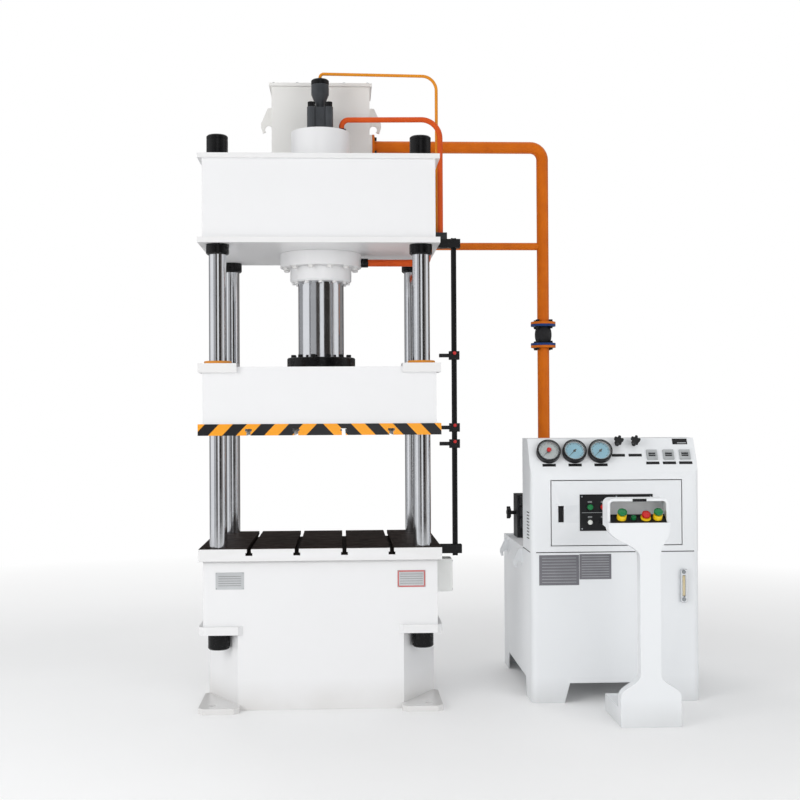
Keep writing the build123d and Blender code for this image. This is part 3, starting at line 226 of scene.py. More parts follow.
@dataclass(frozen=True)
class Finish:
    """A surface finish of one colour that drifts a little, with a fine grain.

    A pattern finer than about 2 mm is drawn at 2 mm or more, so that it shows in the render.
    """

    name: str
    colour: str
    drift: str
    drift_mm: float = 260.0
    drift_share: float = 0.5
    roughness: float = 0.4
    roughness_spread: float = 0.08
    metallic: float = 0.0
    ior: float = 1.5
    coat: float = 0.0
    grain_mm: float = 3.0
    grain_depth_mm: float = 0.03
    stretch: Point = (1.0, 1.0, 1.0)
    grime: Optional[str] = None
    grime_height_mm: float = 140.0
    wear: Optional[str] = None

    def material(self) -> Material:
        """Return the Blender material of this finish, made on first use."""
        found = bpy.data.materials.get(self.name)
        if found:
            return found
        made = bpy.data.materials.new(self.name)
        made.use_nodes = True
        made.diffuse_color = linear(self.colour)
        tree = made.node_tree
        shader = tree.nodes["Principled BSDF"].inputs
        shader["Metallic"].default_value = self.metallic
        shader["IOR"].default_value = self.ior
        shader["Coat Weight"].default_value = self.coat
        shader["Coat Roughness"].default_value = COAT_ROUGHNESS
        coords = add(tree, "ShaderNodeTexCoord").outputs["Object"]
        tree.links.new(self.tint(tree, coords), shader["Base Color"])
        tree.links.new(self.gloss(tree, coords), shader["Roughness"])
        tree.links.new(self.relief(tree, coords), shader["Normal"])
        return made

    def tint(self, tree: NodeTree, coords: NodeSocket) -> NodeSocket:
        """Build the colour.

        Args:
            tree: Material's node tree.
            coords: Object coordinates.

        Returns:
            Colour socket.
        """
        cloud = noise(tree, coords, self.drift_mm, DRIFT_DETAIL)
        share = ranged(tree, cloud, DRIFT_RANGE, (0.0, self.drift_share))
        colour = blend(tree, share, linear(self.colour), linear(self.drift))
        if self.grime:
            height = add(tree, "ShaderNodeSeparateXYZ", {"Vector": coords}).outputs["Z"]
            low = ranged(tree, height, (0.0, self.grime_height_mm * MM), (GRIME_SHARE, 0.0))
            colour = blend(tree, maths(tree, "MULTIPLY", low, cloud), colour, linear(self.grime))
        if self.wear:
            edge = add(tree, "ShaderNodeNewGeometry").outputs["Pointiness"]
            worn = ranged(tree, edge, WEAR_RANGE, (0.0, WEAR_SHARE))
            colour = blend(tree, worn, colour, linear(self.wear))
        return colour

    def gloss(self, tree: NodeTree, coords: NodeSocket) -> NodeSocket:
        """Build the roughness, which varies like handled or wiped surfaces do.

        Args:
            tree: Material's node tree.
            coords: Object coordinates.

        Returns:
            Roughness socket.
        """
        cloud = noise(tree, coords, GLOSS_SIZE_SHARE * self.drift_mm, GLOSS_DETAIL)
        spread = self.roughness_spread
        return ranged(tree, cloud, GLOSS_RANGE, (self.roughness - spread, self.roughness + spread))

    def relief(self, tree: NodeTree, coords: NodeSocket) -> NodeSocket:
        """Build the fine grain as bump.

        Args:
            tree: Material's node tree.
            coords: Object coordinates.

        Returns:
            Normal socket.
        """
        laid = add(tree, "ShaderNodeMapping", {"Scale": self.stretch, "Vector": coords}).outputs["Vector"]
        grain = noise(tree, laid, self.grain_mm, GRAIN_DETAIL)
        return add(tree, "ShaderNodeBump", {"Strength": BUMP_STRENGTH, "Distance": self.grain_depth_mm * MM,
                                            "Height": grain}).outputs["Normal"]


@dataclass(frozen=True)
class SlidePaint(Finish):
    """Press enamel with slanting warning stripes along the slide's lower edge, front and back."""

    stripe: str = "#F5A11F"
    stripe_gap: str = "#17171A"
    stripe_pitch_mm: float = 126.0
    stripe_share: float = 0.5
    stripe_lean: float = 0.95
    band_low_mm: float = 1240.0
    band_high_mm: float = 1292.0
    band_y_mm: float = 439.0

    def tint(self, tree: NodeTree, coords: NodeSocket) -> NodeSocket:
        """Build the colour with its stripes.

        Args:
            tree: Material's node tree.
            coords: Object coordinates.

        Returns:
            Colour socket.
        """
        paint = super().tint(tree, coords)
        place = add(tree, "ShaderNodeSeparateXYZ", {"Vector": coords}).outputs
        rise = maths(tree, "SUBTRACT", place["Z"], self.band_low_mm * MM)
        lean = maths(tree, "MULTIPLY_ADD", rise, self.stripe_lean, maths(tree, "ABSOLUTE", place["X"]))
        saw = maths(tree, "FRACT", maths(tree, "DIVIDE", lean, self.stripe_pitch_mm * MM))
        dark = maths(tree, "LESS_THAN", saw, self.stripe_share)
        tape = blend(tree, dark, linear(self.stripe), linear(self.stripe_gap))
        on_face = maths(tree, "GREATER_THAN", maths(tree, "ABSOLUTE", place["Y"]), self.band_y_mm * MM)
        below = maths(tree, "LESS_THAN", place["Z"], self.band_high_mm * MM)
        return blend(tree, maths(tree, "MULTIPLY", on_face, below), paint, tape)


@dataclass(frozen=True)
class ClearFinish(Finish):
    """Clear glass or acrylic."""

    def material(self) -> Material:
        """Return the Blender material of this finish, made on first use."""
        made = super().material()
        made.node_tree.nodes["Principled BSDF"].inputs["Transmission Weight"].default_value = 1.0
        return made


# What finishes of one kind share
PRESS_ENAMEL = {"drift_share": 0.15, "roughness": 0.32, "roughness_spread": 0.02, "coat": 0.1,
                "grain_mm": 5.0, "grain_depth_mm": 0.012, "wear": "#DAD8D4"}
PIPE_ENAMEL = {"drift_mm": 90.0, "roughness": 0.36, "ior": 1.28, "grain_mm": 5.0, "grain_depth_mm": 0.05}
BUTTON_CAP = {"drift_mm": 40.0, "roughness": 0.26, "grain_mm": 2.0, "grain_depth_mm": 0.01}
PRINT = {"drift_mm": 60.0, "roughness": 0.6, "grain_depth_mm": 0.005}


class Coat(Enum):
    """Finishes of the press."""

    # Alkyd enamel, sprayed: glossy off-white with faint orange peel, grey with dust near the floor
    PRESS = Finish("press_enamel", "#ECECED", "#E7E7E6", grime="#B4AEA4", **PRESS_ENAMEL)
    # The same enamel with stripes of warning tape on the slide's lower edge
    SLIDE = SlidePaint("slide_enamel", "#ECECED", "#E7E7E6", **PRESS_ENAMEL)
    # Folded sheet in satin enamel: a little darker and greyer than the press
    TANK = Finish("tank_enamel", "#ECEBE8", "#E6E4E1", drift_share=0.2, roughness=0.38, roughness_spread=0.02,
                  grain_mm=5.0, grain_depth_mm=0.015)
    # Powder coat on the power unit and the pedestal: cold white with a fine pebble
    UNIT = Finish("powder_coat", "#ECEEF0", "#E7EAEC", drift_share=0.15, roughness=0.38,
                  roughness_spread=0.02, grain_mm=2.5, grain_depth_mm=0.02, grime="#A9A8A5",
                  grime_height_mm=120.0, wear="#D6D9DC")
    # Milled steel under oil: brown-black with cutter lines from front to back
    TABLE = Finish("milled_steel", "#332B28", "#1F1A18", drift_mm=120.0, drift_share=0.9, roughness=0.5,
                   ior=1.12, grain_mm=6.0, grain_depth_mm=0.05, stretch=(1.0, 0.04, 1.0))
    # Hard chrome on ground steel: mirror with faint rings left by the grinding wheel
    CHROME = Finish("hard_chrome", "#DDDFE2", "#CBCED2", roughness=0.12, roughness_spread=0.04, metallic=1.0,
                    grain_depth_mm=0.004, stretch=(0.1, 0.1, 1.0))
    # Blackened and oiled steel: near black with sharp highlights
    BLACKENED = Finish("black_oxide", "#0B0B0C", "#131314", drift_mm=60.0, roughness=0.26, ior=1.3,
                       grain_depth_mm=0.02, wear="#29292B")
    # Turned bronze bushes
    BRONZE = Finish("turned_bronze", "#B48A4A", "#8F6B34", roughness=0.3, metallic=1.0,
                    stretch=(0.1, 0.1, 1.0))
    # Cast polyurethane wiper: amber, waxy
    AMBER = Finish("polyurethane", "#D98A22", "#C27414", drift_mm=40.0, roughness=0.42, grain_depth_mm=0.02)
    # Sand-cast iron, primed grey: pebbled skin
    CASTING = Finish("cast_iron", "#3B3E42", "#2A2D30", drift_mm=50.0, metallic=0.2, grain_depth_mm=0.2,
                     wear="#6E7276")
    # Brush-painted pipe enamels
    ORANGE = Finish("orange_enamel", "#D96E06", "#BC5402", wear="#E38F28", **PIPE_ENAMEL)
    RED_ORANGE = Finish("vermilion_enamel", "#DC5A20", "#C54613", **PIPE_ENAMEL)
    YELLOW_ORANGE = Finish("amber_enamel", "#E8962A", "#D37F18", **PIPE_ENAMEL)
    BLUE = Finish("blue_enamel", "#1B3C78", "#142D5C", drift_mm=60.0, roughness=0.36, ior=1.35, grain_mm=4.0)
    # Moulded neoprene: matte black with a dusty bloom; also the black strips of painted shade at the console's seam
    RUBBER_AND_SEAM_SHADE = Finish("neoprene_and_seam_shade", "#161617", "#26262A", drift_mm=50.0, roughness=0.72, grain_depth_mm=0.06)
    # Moulded plastics with a spark-eroded grain
    BLACK_PLASTIC = Finish("black_polyamide", "#121214", "#1A1A1D", drift_mm=60.0, roughness=0.42, ior=1.38,
                           grain_mm=2.0)
    GREY_PLASTIC = Finish("grey_abs", "#AEB1B2", "#9EA2A4", drift_mm=60.0, grain_mm=2.0)
    WHITE_PLASTIC = Finish("white_abs", "#E6E7E5", "#DADBD9", drift_mm=80.0, roughness=0.36, grain_mm=2.0)
    YELLOW_PLASTIC = Finish("yellow_abs", "#F6CF1C", "#EBBE0C", drift_mm=40.0, roughness=0.34, grain_mm=2.0)
    GREEN_PLASTIC = Finish("green_abs", "#0F7A40", "#0B6234", **BUTTON_CAP)
    RED_PLASTIC = Finish("red_abs", "#C51E1C", "#A81512", **BUTTON_CAP)
    # Black chassis paint on the motor and the valves
    BLACK_PAINT = Finish("black_enamel", "#17181A", "#212326", drift_mm=90.0, roughness=0.38, ior=1.4,
                         grain_mm=4.0, grain_depth_mm=0.05, wear="#45484B")
    # Zinc-plated screws and bright turned steel
    ZINC = Finish("zinc_plate", "#B9BDC0", "#9EA3A7", drift_mm=20.0, roughness=0.3, metallic=1.0,
                  grain_mm=2.0)
    # Brushed aluminium of the bare plates
    ALUMINIUM = Finish("brushed_aluminium", "#C9CBCD", "#BDBFC1", drift_mm=60.0, metallic=0.25, grain_mm=2.0,
                       stretch=(0.05, 0.05, 1.0))
    # Etched and inked aluminium of the tank's plates
    ETCHED = Finish("etched_plate", "#78777D", "#6C6B71", drift_mm=60.0, metallic=0.2, grain_mm=2.0)
    # Printed card behind the gauge glass
    DIAL = Finish("dial_card", "#A2D6EA", "#90C8E0", **PRINT)
    PALE_DIAL = Finish("silver_card", "#D4D6D6", "#C6C9CA", drift_mm=60.0, roughness=0.45, metallic=0.3)
    # Printing ink; also the black bars of painted shade in the console's louvres
    INK_AND_LOUVRE_SHADE = Finish("printing_ink_and_louvre_shade", "#16181A", "#202225", **PRINT)
    RED_INK = Finish("red_ink", "#CC6A66", "#BE5C58", **PRINT)
    # Dark display behind a smoked window
    DISPLAY = Finish("smoked_acrylic", "#101418", "#181E24", drift_mm=60.0, roughness=0.1,
                     grain_depth_mm=0.002)
    # Hydraulic oil seen in its sight glass
    OIL = Finish("oil_in_glass", "#D8C9A6", "#CDB98C", drift_mm=30.0, roughness=0.12, grain_depth_mm=0.005)
    # Soda glass over the dials
    GLASS = ClearFinish("soda_glass", "#F4F8F8", "#FFFFFF", roughness=0.02, roughness_spread=0.01,
                        grain_depth_mm=0.0005)
    # Frosted lamp lenses
    LENS = Finish("frosted_lens", "#E9EBE6", "#DADDD8", drift_mm=20.0, roughness=0.2, grain_depth_mm=0.01)

    def material(self) -> Material:
        """Return the Blender material of this finish."""
        return self.value.material()


class Head(Enum):
    """Kinds of screw head: name, sides, and share of the radius that is left at its top."""

    HEX = ("hex", 6, 0.86)
    SOCKET = ("socket", 24, 0.86)
    PAN = ("pan", 20, 0.6)


@dataclass(frozen=True)
class Seat:
    """Where a piece belongs: finish, material slot of the record, CAD body and the nodes it stands for."""

    coat: Coat
    slot: str
    body: str = "frame"
    replaces: Sequence[str] = ()


def new_tree(name: str, kinds: dict[str, str]) -> tuple[NodeTree, Any]:
    """Start a Geometry Nodes tree that takes points, named values and a finish.

    Args:
        name: Tree's name.
        kinds: Kind of each named value.

    Returns:
        The tree and its inputs.
    """
    tree = bpy.data.node_groups.new(name, "GeometryNodeTree")
    for label, kind in {"Geometry": "Geometry", **kinds, "Finish": "Material"}.items():
        tree.interface.new_socket(label, in_out="INPUT", socket_type=f"NodeSocket{kind}")
    tree.interface.new_socket("Geometry", in_out="OUTPUT", socket_type="NodeSocketGeometry")
    return tree, add(tree, "NodeGroupInput").outputs


def close_tree(tree: NodeTree, spread: dict[str, NodeSocket], finish: NodeSocket) -> None:
    """Close a tree: a piece on every point, made real and coated.

    Args:
        tree: Tree to close.
        spread: Sockets with the points, the piece and, if it turns, its rotation.
        finish: Socket with the material.
    """
    placed = add(tree, "GeometryNodeInstanceOnPoints", spread).outputs["Instances"]
    real = add(tree, "GeometryNodeRealizeInstances", {"Geometry": placed}).outputs["Geometry"]
    coated = add(tree, "GeometryNodeSetMaterial", {"Geometry": real, "Material": finish}).outputs["Geometry"]
    add(tree, "NodeGroupOutput", {"Geometry": coated})


def scaled(tree: NodeTree, length: NodeSocket, factor: float) -> NodeSocket:
    """Multiply a length by a constant inside a tree."""
    return maths(tree, "MULTIPLY", length, factor)


def vector(tree: NodeTree, **parts: NodeSocket) -> NodeSocket:
    """Join lengths to a vector inside a tree."""
    return add(tree, "ShaderNodeCombineXYZ", parts).outputs["Vector"]


def cylinder(tree: NodeTree, sides: int, radius: NodeSocket, depth: NodeSocket) -> NodeSocket:
    """Add an upright cylinder, or a prism with few sides, inside a tree."""
    values = {"Vertices": sides, "Radius": radius, "Depth": depth}
    return add(tree, "GeometryNodeMeshCylinder", values).outputs["Mesh"]


def raised(tree: NodeTree, mesh: NodeSocket, height: NodeSocket) -> NodeSocket:
    """Lift a mesh along Z inside a tree."""
    values = {"Geometry": mesh, "Translation": vector(tree, Z=height)}
    return add(tree, "GeometryNodeTransform", values).outputs["Geometry"]


@lru_cache(maxsize=None)
def screw_tree(head: Head) -> NodeTree:
    """Make the tree that sets a screw head on every point of a mesh.

    Args:
        head: Kind of head.

    Returns:
        Tree with inputs for the head's width and height, its turn and its finish.
    """
    label, sides, top_share = head.value
    tree, entry = new_tree(f"{label}_screws", {"Width": "Float", "Height": "Float", "Turn": "Vector"})
    height = entry["Height"]
    radius = scaled(tree, entry["Width"], 1 / math.sqrt(3) if head is Head.HEX else 0.5)
    shank = scaled(tree, height, SHANK_SHARE)
    lower = raised(tree, cylinder(tree, sides, radius, shank), scaled(tree, shank, 0.5))
    crown = add(tree, "GeometryNodeMeshCone", {
        "Vertices": sides, "Radius Top": scaled(tree, radius, top_share), "Radius Bottom": radius,
        "Depth": scaled(tree, height, CROWN_SHARE)}).outputs["Mesh"]
    parts = [raised(tree, crown, shank), lower]
    if head is Head.HEX:
        wide, thick = WASHER_SHARES
        parts.append(cylinder(tree, WASHER_SIDES, scaled(tree, radius, wide), scaled(tree, height, thick)))
    joined = add(tree, "GeometryNodeJoinGeometry")
    for part in parts:
        tree.links.new(part, joined.inputs["Geometry"])
    screw = joined.outputs["Geometry"]
    if head is Head.SOCKET:
        key = raised(tree, cylinder(tree, KEY_SIDES, scaled(tree, radius, KEY_SHARE), height), height)
        screw = add(tree, "GeometryNodeMeshBoolean", {
            "operation": "DIFFERENCE", "Mesh 1": screw, "Mesh 2": key}).outputs["Mesh"]
    spread = {"Points": entry["Geometry"], "Instance": screw, "Rotation": entry["Turn"]}
    close_tree(tree, spread, entry["Finish"])
    return tree


@lru_cache(maxsize=None)
def tick_tree() -> NodeTree:
    """Make the tree that sets scale marks round a dial.

    Returns:
        Tree with inputs for count, start, step, radius, length, width and finish.
    """
    lengths = dict.fromkeys(("Start", "Step", "Radius", "Length", "Width"), "Float")
    tree, entry = new_tree("dial_ticks", {"Count": "Int", **lengths})
    index = add(tree, "GeometryNodeInputIndex").outputs["Index"]
    angle = maths(tree, "MULTIPLY_ADD", index, entry["Step"], entry["Start"])
    across = [maths(tree, "MULTIPLY", maths(tree, operation, angle), entry["Radius"])
              for operation in ("COSINE", "SINE")]
    points = add(tree, "GeometryNodePoints", {
        "Count": entry["Count"], "Position": vector(tree, X=across[0], Y=across[1])}).outputs["Points"]
    size = vector(tree, X=entry["Length"], Y=entry["Width"],
                  Z=scaled(tree, entry["Width"], MARK_THICKNESS_SHARE))
    mark = add(tree, "GeometryNodeMeshCube", {"Size": size}).outputs["Mesh"]
    close_tree(tree, {"Points": points, "Instance": mark, "Rotation": vector(tree, Z=angle)}, entry["Finish"])
    return tree


@lru_cache(maxsize=None)
def bar_tree() -> NodeTree:
    """Make the tree that sets a row of bars along Z.

    Returns:
        Tree with inputs for count, pitch, the bar's size and finish.
    """
    tree, entry = new_tree("bar_row", {"Count": "Int", "Pitch": "Float", "Size": "Vector"})
    row = add(tree, "GeometryNodeMeshLine", {
        "Count": entry["Count"], "Offset": vector(tree, Z=entry["Pitch"])}).outputs["Mesh"]
    bar = add(tree, "GeometryNodeMeshCube", {"Size": entry["Size"]}).outputs["Mesh"]
    close_tree(tree, {"Points": row, "Instance": bar}, entry["Finish"])
    return tree


def set_at(origin: Point, out: Point) -> Matrix:
    """Return a place whose Z axis points out of a face.

    Args:
        origin: Point on the face.
        out: Outward direction.

    Returns:
        Matrix from the piece's own axes to the frame's, with X level.
    """
    z_axis = Vector(out).normalized()
    level = Vector((0, 1, 0)) if abs(z_axis.z) > 0.9 else Vector(UP)
    x_axis = level.cross(z_axis).normalized()
    y_axis = z_axis.cross(x_axis)
    turn = Matrix((x_axis, y_axis, z_axis)).transposed().to_4x4()
    return Matrix.Translation(Vector(origin)) @ turn


def lifted(face: Matrix, height: float) -> Matrix:
    """Return a place moved out of its face."""
    return face @ Matrix.Translation((0, 0, height))


def sized(profile: Profile, radius: float, height: float) -> Profile:
    """Return a profile with its radii and heights multiplied."""
    return [(a * radius, b * height) for a, b in profile]


def ring_points(centre: Point, radius: float, count: int, place: Optional[Matrix] = None,
                start: float = 0.0) -> list[Vector]:
    """Spread points round a circle.

    Args:
        centre: Middle of the circle, in the place's axes.
        radius: Circle's radius.
        count: Number of points.
        place: Axes of the circle; the frame's if left out.
        start: Angle of the first point, in degrees.

    Returns:
        Points in the frame's axes.
    """
    frame = place or Matrix.Identity(4)
    angles = [math.radians(start + 360 * i / count) for i in range(count)]
    spokes = [Vector((radius * math.cos(a), radius * math.sin(a), 0)) for a in angles]
    return [frame @ (Vector(centre) + spoke) for spoke in spokes]


class Bench:
    """Makes pieces, coats them and sets them on the CAD bodies."""

    def __init__(self) -> None:
        """Load the frame and keep the box of the CAD model."""
        self.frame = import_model()
        self.cad_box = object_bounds()

    def keep(self, obj: Object, seat: Seat) -> None:
        """Smooth a finished piece and let it ride on its body.

        Args:
            obj: Piece, in place and coated.
            seat: Where it belongs.
        """
        for face in obj.data.polygons:
            face.use_smooth = True
        obj.data.set_sharp_from_angle(angle=SMOOTH_ANGLE)
        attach(obj, seat.body)
        if seat.replaces:
            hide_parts(*seat.replaces)
        LOG.info("piece %s on %s: %d faces", obj.name, seat.body, len(obj.data.polygons))

    def dress(self, *rows: tuple) -> None:
        """Coat CAD nodes and break their sharp edges.

        Args:
            rows: For each node its name, finish, width of the broken edge in mm and, if need be, its steps.
        """
        for node, coat, edge_mm, *steps in rows:
            obj = self.frame["nodes"][node]
            mesh = obj.data
            mesh.materials.clear()
            mesh.materials.append(coat.material())
            if "custom_normal" in mesh.attributes:
                mesh.attributes.remove(mesh.attributes["custom_normal"])
            mesh.polygons.foreach_set("use_smooth", [True] * len(mesh.polygons))
            weld = obj.modifiers.new("weld", "WELD")
            weld.merge_threshold = WELD_GAP
            flat = obj.modifiers.new("flat", "DECIMATE")
            flat.decimate_type = "DISSOLVE"
            flat.angle_limit = FLAT_ANGLE
            flat.delimit = {"MATERIAL"}
            bevel = obj.modifiers.new("edges", "BEVEL")
            bevel.width = edge_mm * MM
            bevel.segments = steps[0] if steps else EDGE_STEPS
            bevel.limit_method = "ANGLE"
            bevel.angle_limit = SMOOTH_ANGLE
            bevel.harden_normals = True
            bevel.miter_outer = "MITER_ARC"

    def paint_sides(self, node: str, coat: Coat) -> None:
        """Give the outer upright faces of a dressed node a second finish.

        Args:
            node: Name of the CAD node.
            coat: Finish of its outer sides.
        """
        mesh = self.frame["nodes"][node].data
        mesh.materials.append(coat.material())
        low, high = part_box(node)
        for face in mesh.polygons:
            x, y, _ = face.center
            if min(x - low.x, high.x - x, y - low.y, high.y - y) < WELD_GAP:
                face.material_index = 1

    def shaped(self, name: str, shape: bmesh.types.BMesh, seat: Seat, at: Optional[Matrix]) -> None:
        """Keep a shape as a coated piece, with its place in its points.

        Args:
            name: Piece's name.
            shape: Shape in its own axes, freed here.
            seat: Where it belongs.
            at: Where it goes; the frame's axes if left out.
        """
        mesh = bpy.data.meshes.new(name)
        shape.to_mesh(mesh)
        shape.free()
        if at is not None:
            mesh.transform(at)
        mesh.materials.append(seat.coat.material())
        self.keep(link(name, mesh), seat)

    def block(self, name: str, low: Point, high: Point, edge: float, seat: Seat,
              at: Optional[Matrix] = None) -> None:
        """Make a box with rounded edges.

        Args:
            name: Piece's name.
            low: Lowest corner.
            high: Highest corner.
            edge: Radius of the edges.
            seat: Where it belongs.
            at: Where it goes; the frame's axes if left out.
        """
        size = Vector(high) - Vector(low)
        middle = Matrix.Translation((Vector(high) + Vector(low)) / 2)
        shape = bmesh.new()
        bmesh.ops.create_cube(shape, size=1.0, matrix=middle @ Matrix.Diagonal((*size, 1.0)))
        bmesh.ops.bevel(shape, geom=shape.edges[:], offset=edge, segments=BLOCK_EDGE_STEPS, profile=0.5,
                        affect="EDGES")
        self.shaped(name, shape, seat, at)

    def sheet(self, name: str, centre: Point, half: Point, depth: Point, edge: float, seat: Seat) -> None:
        """Make an upright plate that faces the front.

        Args:
            name: Piece's name.
            centre: X and Z of its middle.
            half: Half its width and half its height.
            depth: Y of its front and of its back.
            edge: Radius of its edges.
            seat: Where it belongs.
        """
        (x, z), (wide, tall), (front, back) = centre, half, depth
        self.block(name, (x - wide, front, z - tall), (x + wide, back, z + tall), edge, seat)

    def turned(self, name: str, profile: Profile, at: Matrix, seat: Seat,
               segments: int = TURNED_STEPS) -> None:
        """Turn a profile about Z.

        Args:
            name: Piece's name.
            profile: Pairs of radius and height, from the lower end to the upper one.
            at: Where it goes.
            seat: Where it belongs.
            segments: Steps round the axis.
        """
        shape = bmesh.new()
        steps = [2 * math.pi * i / segments for i in range(segments)]
        rings = []
        for radius, height in profile:
            if radius == 0:
                rings.append([shape.verts.new((0, 0, height))])
            else:
                rings.append([shape.verts.new((radius * math.cos(a), radius * math.sin(a), height))
                              for a in steps])
        for lower, upper in zip(rings, rings[1:]):
            for i in range(segments):
                j = (i + 1) % segments
                corners = [lower[i % len(lower)], lower[j % len(lower)],
                           upper[j % len(upper)], upper[i % len(upper)]]
                unique = list(dict.fromkeys(corners))
                if len(unique) > 2:
                    shape.faces.new(unique)
        self.shaped(name, shape, seat, at)

    def grown(self, name: str, tree: NodeTree, values: dict[str, Any], seat: Seat,
              points: Sequence[Point] = (ORIGIN,), at: Optional[Matrix] = None) -> None:
        """Run a Geometry Nodes tree on a set of points and keep its mesh.

        Args:
            name: Piece's name.
            tree: Tree to run, which coats what it makes.
            values: Values of the tree's inputs, by name.
            seat: Where it belongs.
            points: Points that the tree starts from.
            at: Where the result goes; the frame's axes if left out.
        """
        mesh = bpy.data.meshes.new(f"{name}_points")
        mesh.from_pydata([tuple(point) for point in points], [], [])
        obj = link(name, mesh)
        modifier = obj.modifiers.new("grow", "NODES")
        modifier.node_group = tree
        known = {item.name: item.identifier for item in tree.interface.items_tree if item.in_out == "INPUT"}
        for key, value in {**values, "Finish": seat.coat.material()}.items():
            modifier[known[key]] = value
        graph = bpy.context.evaluated_depsgraph_get()
        made = bpy.data.meshes.new_from_object(obj.evaluated_get(graph), depsgraph=graph)
        obj.modifiers.remove(modifier)
        obj.data = made
        made.name = name
        if at is not None:
            made.transform(at)
        self.keep(obj, seat)

    def bars(self, name: str, count: int, pitch: float, size: Point, first: Point, seat: Seat) -> None:
        """Set a row of bars one above the other.

        Args:
            name: Piece's name.
            count: Number of bars.
            pitch: Distance from one to the next.
            size: Size of a bar.
            first: Middle of the lowest one.
            seat: Where they belong.
        """
        values = {"Count": count, "Pitch": pitch, "Size": size}
        self.grown(name, bar_tree(), values, seat, at=Matrix.Translation(first))

    def screws(self, name: str, head: Head, points: Sequence[Point], out: Point, size: Point,
               seat: Seat) -> None:
        """Set screw heads on points.

        Args:
            name: Piece's name.
            head: Kind of head.
            points: Where the heads sit.
            out: Direction that they point in.
            size: Width and height of a head.
            seat: Where they belong.
        """
        turn = Vector(out).to_track_quat("Z", "Y").to_matrix().to_euler()
        values = {"Width": size[0], "Height": size[1], "Turn": tuple(turn)}
        self.grown(name, screw_tree(head), values, seat, points)


@dataclass
class PressFrame:
    """Bed, table, columns with their nuts, and crown. Lengths in metres."""

    bench: Bench
    plates: Sequence[tuple[str, Point, Optional[Coat]]] = (
        ("left_plate", (-0.410, 0.584), None),
        ("right_plate", (0.411, 0.586), Coat.RED_INK),
    )
    plate_half: Point = (0.064, 0.0385)
    plate_thickness: float = 0.0015
    plate_edge: float = 0.0004
    plate_border: float = 0.007
    rim_inset: float = 0.001
    rim_proud: float = 0.0002
    field_proud: float = 0.0005
    print_edge: float = 0.0001
    rule_count: int = 5
    rule_share: float = 1.8
    rule_section: Point = (0.0005, 0.0012)
    rule_proud: float = 0.00045
    pin_inset: float = 0.004
    pin_size: Point = (0.0045, 0.0014)
    bed_front: float = -0.42

    def build(self) -> None:
        """Coat the weldments and set the bare plates on the bed's front."""
        self.bench.dress(("bed", Coat.PRESS, 2.5), ("crown", Coat.PRESS, 2.5),
                         ("table_plate", Coat.TABLE, 1.5), ("columns", Coat.CHROME, 2.0),
                         ("column_nuts", Coat.BLACKENED, 1.0))
        self.bench.paint_sides("table_plate", Coat.PRESS)
        for name, centre, border in self.plates:
            self.rating_plate(name, centre, border)

    def rating_plate(self, name: str, centre: Point, border: Optional[Coat]) -> None:
        """Set a bare plate with ruled lines on the bed.

        Args:
            name: Piece's name.
            centre: X and Z of its middle.
            border: Finish of its border, or None for a bare one.
        """
        slot = "frame_paint"
        metal = Seat(Coat.ALUMINIUM, slot)
        x, z = centre
        front = self.bed_front - self.plate_thickness
        inner_w, inner_h = (half - self.plate_border for half in self.plate_half)
        self.bench.sheet(name, centre, self.plate_half, (front, self.bed_front), self.plate_edge, metal)
        if border:
            rim = [half - self.rim_inset for half in self.plate_half]
            self.bench.sheet(f"{name}_border", centre, rim, (front - self.rim_proud, front + self.rim_proud),
                             self.print_edge, Seat(border, slot))
            self.bench.sheet(f"{name}_field", centre, (inner_w, inner_h), (front - self.field_proud, front),
                             self.print_edge, metal)
        pitch = 2 * inner_h / (self.rule_count + 1)
        size = (self.rule_share * inner_w, *self.rule_section)
        self.bench.bars(f"{name}_rules", self.rule_count, pitch, size,
                        (x, front - self.rule_proud, z - inner_h + pitch), Seat(Coat.INK_AND_LOUVRE_SHADE, slot))
        out, up = (half - self.pin_inset for half in self.plate_half)
        pins = [(x + a * out, front, z + b * up) for a in (-1, 1) for b in (-1, 1)]
        self.bench.screws(f"{name}_pins", Head.PAN, pins, FRONT, self.pin_size, Seat(Coat.ZINC, slot))


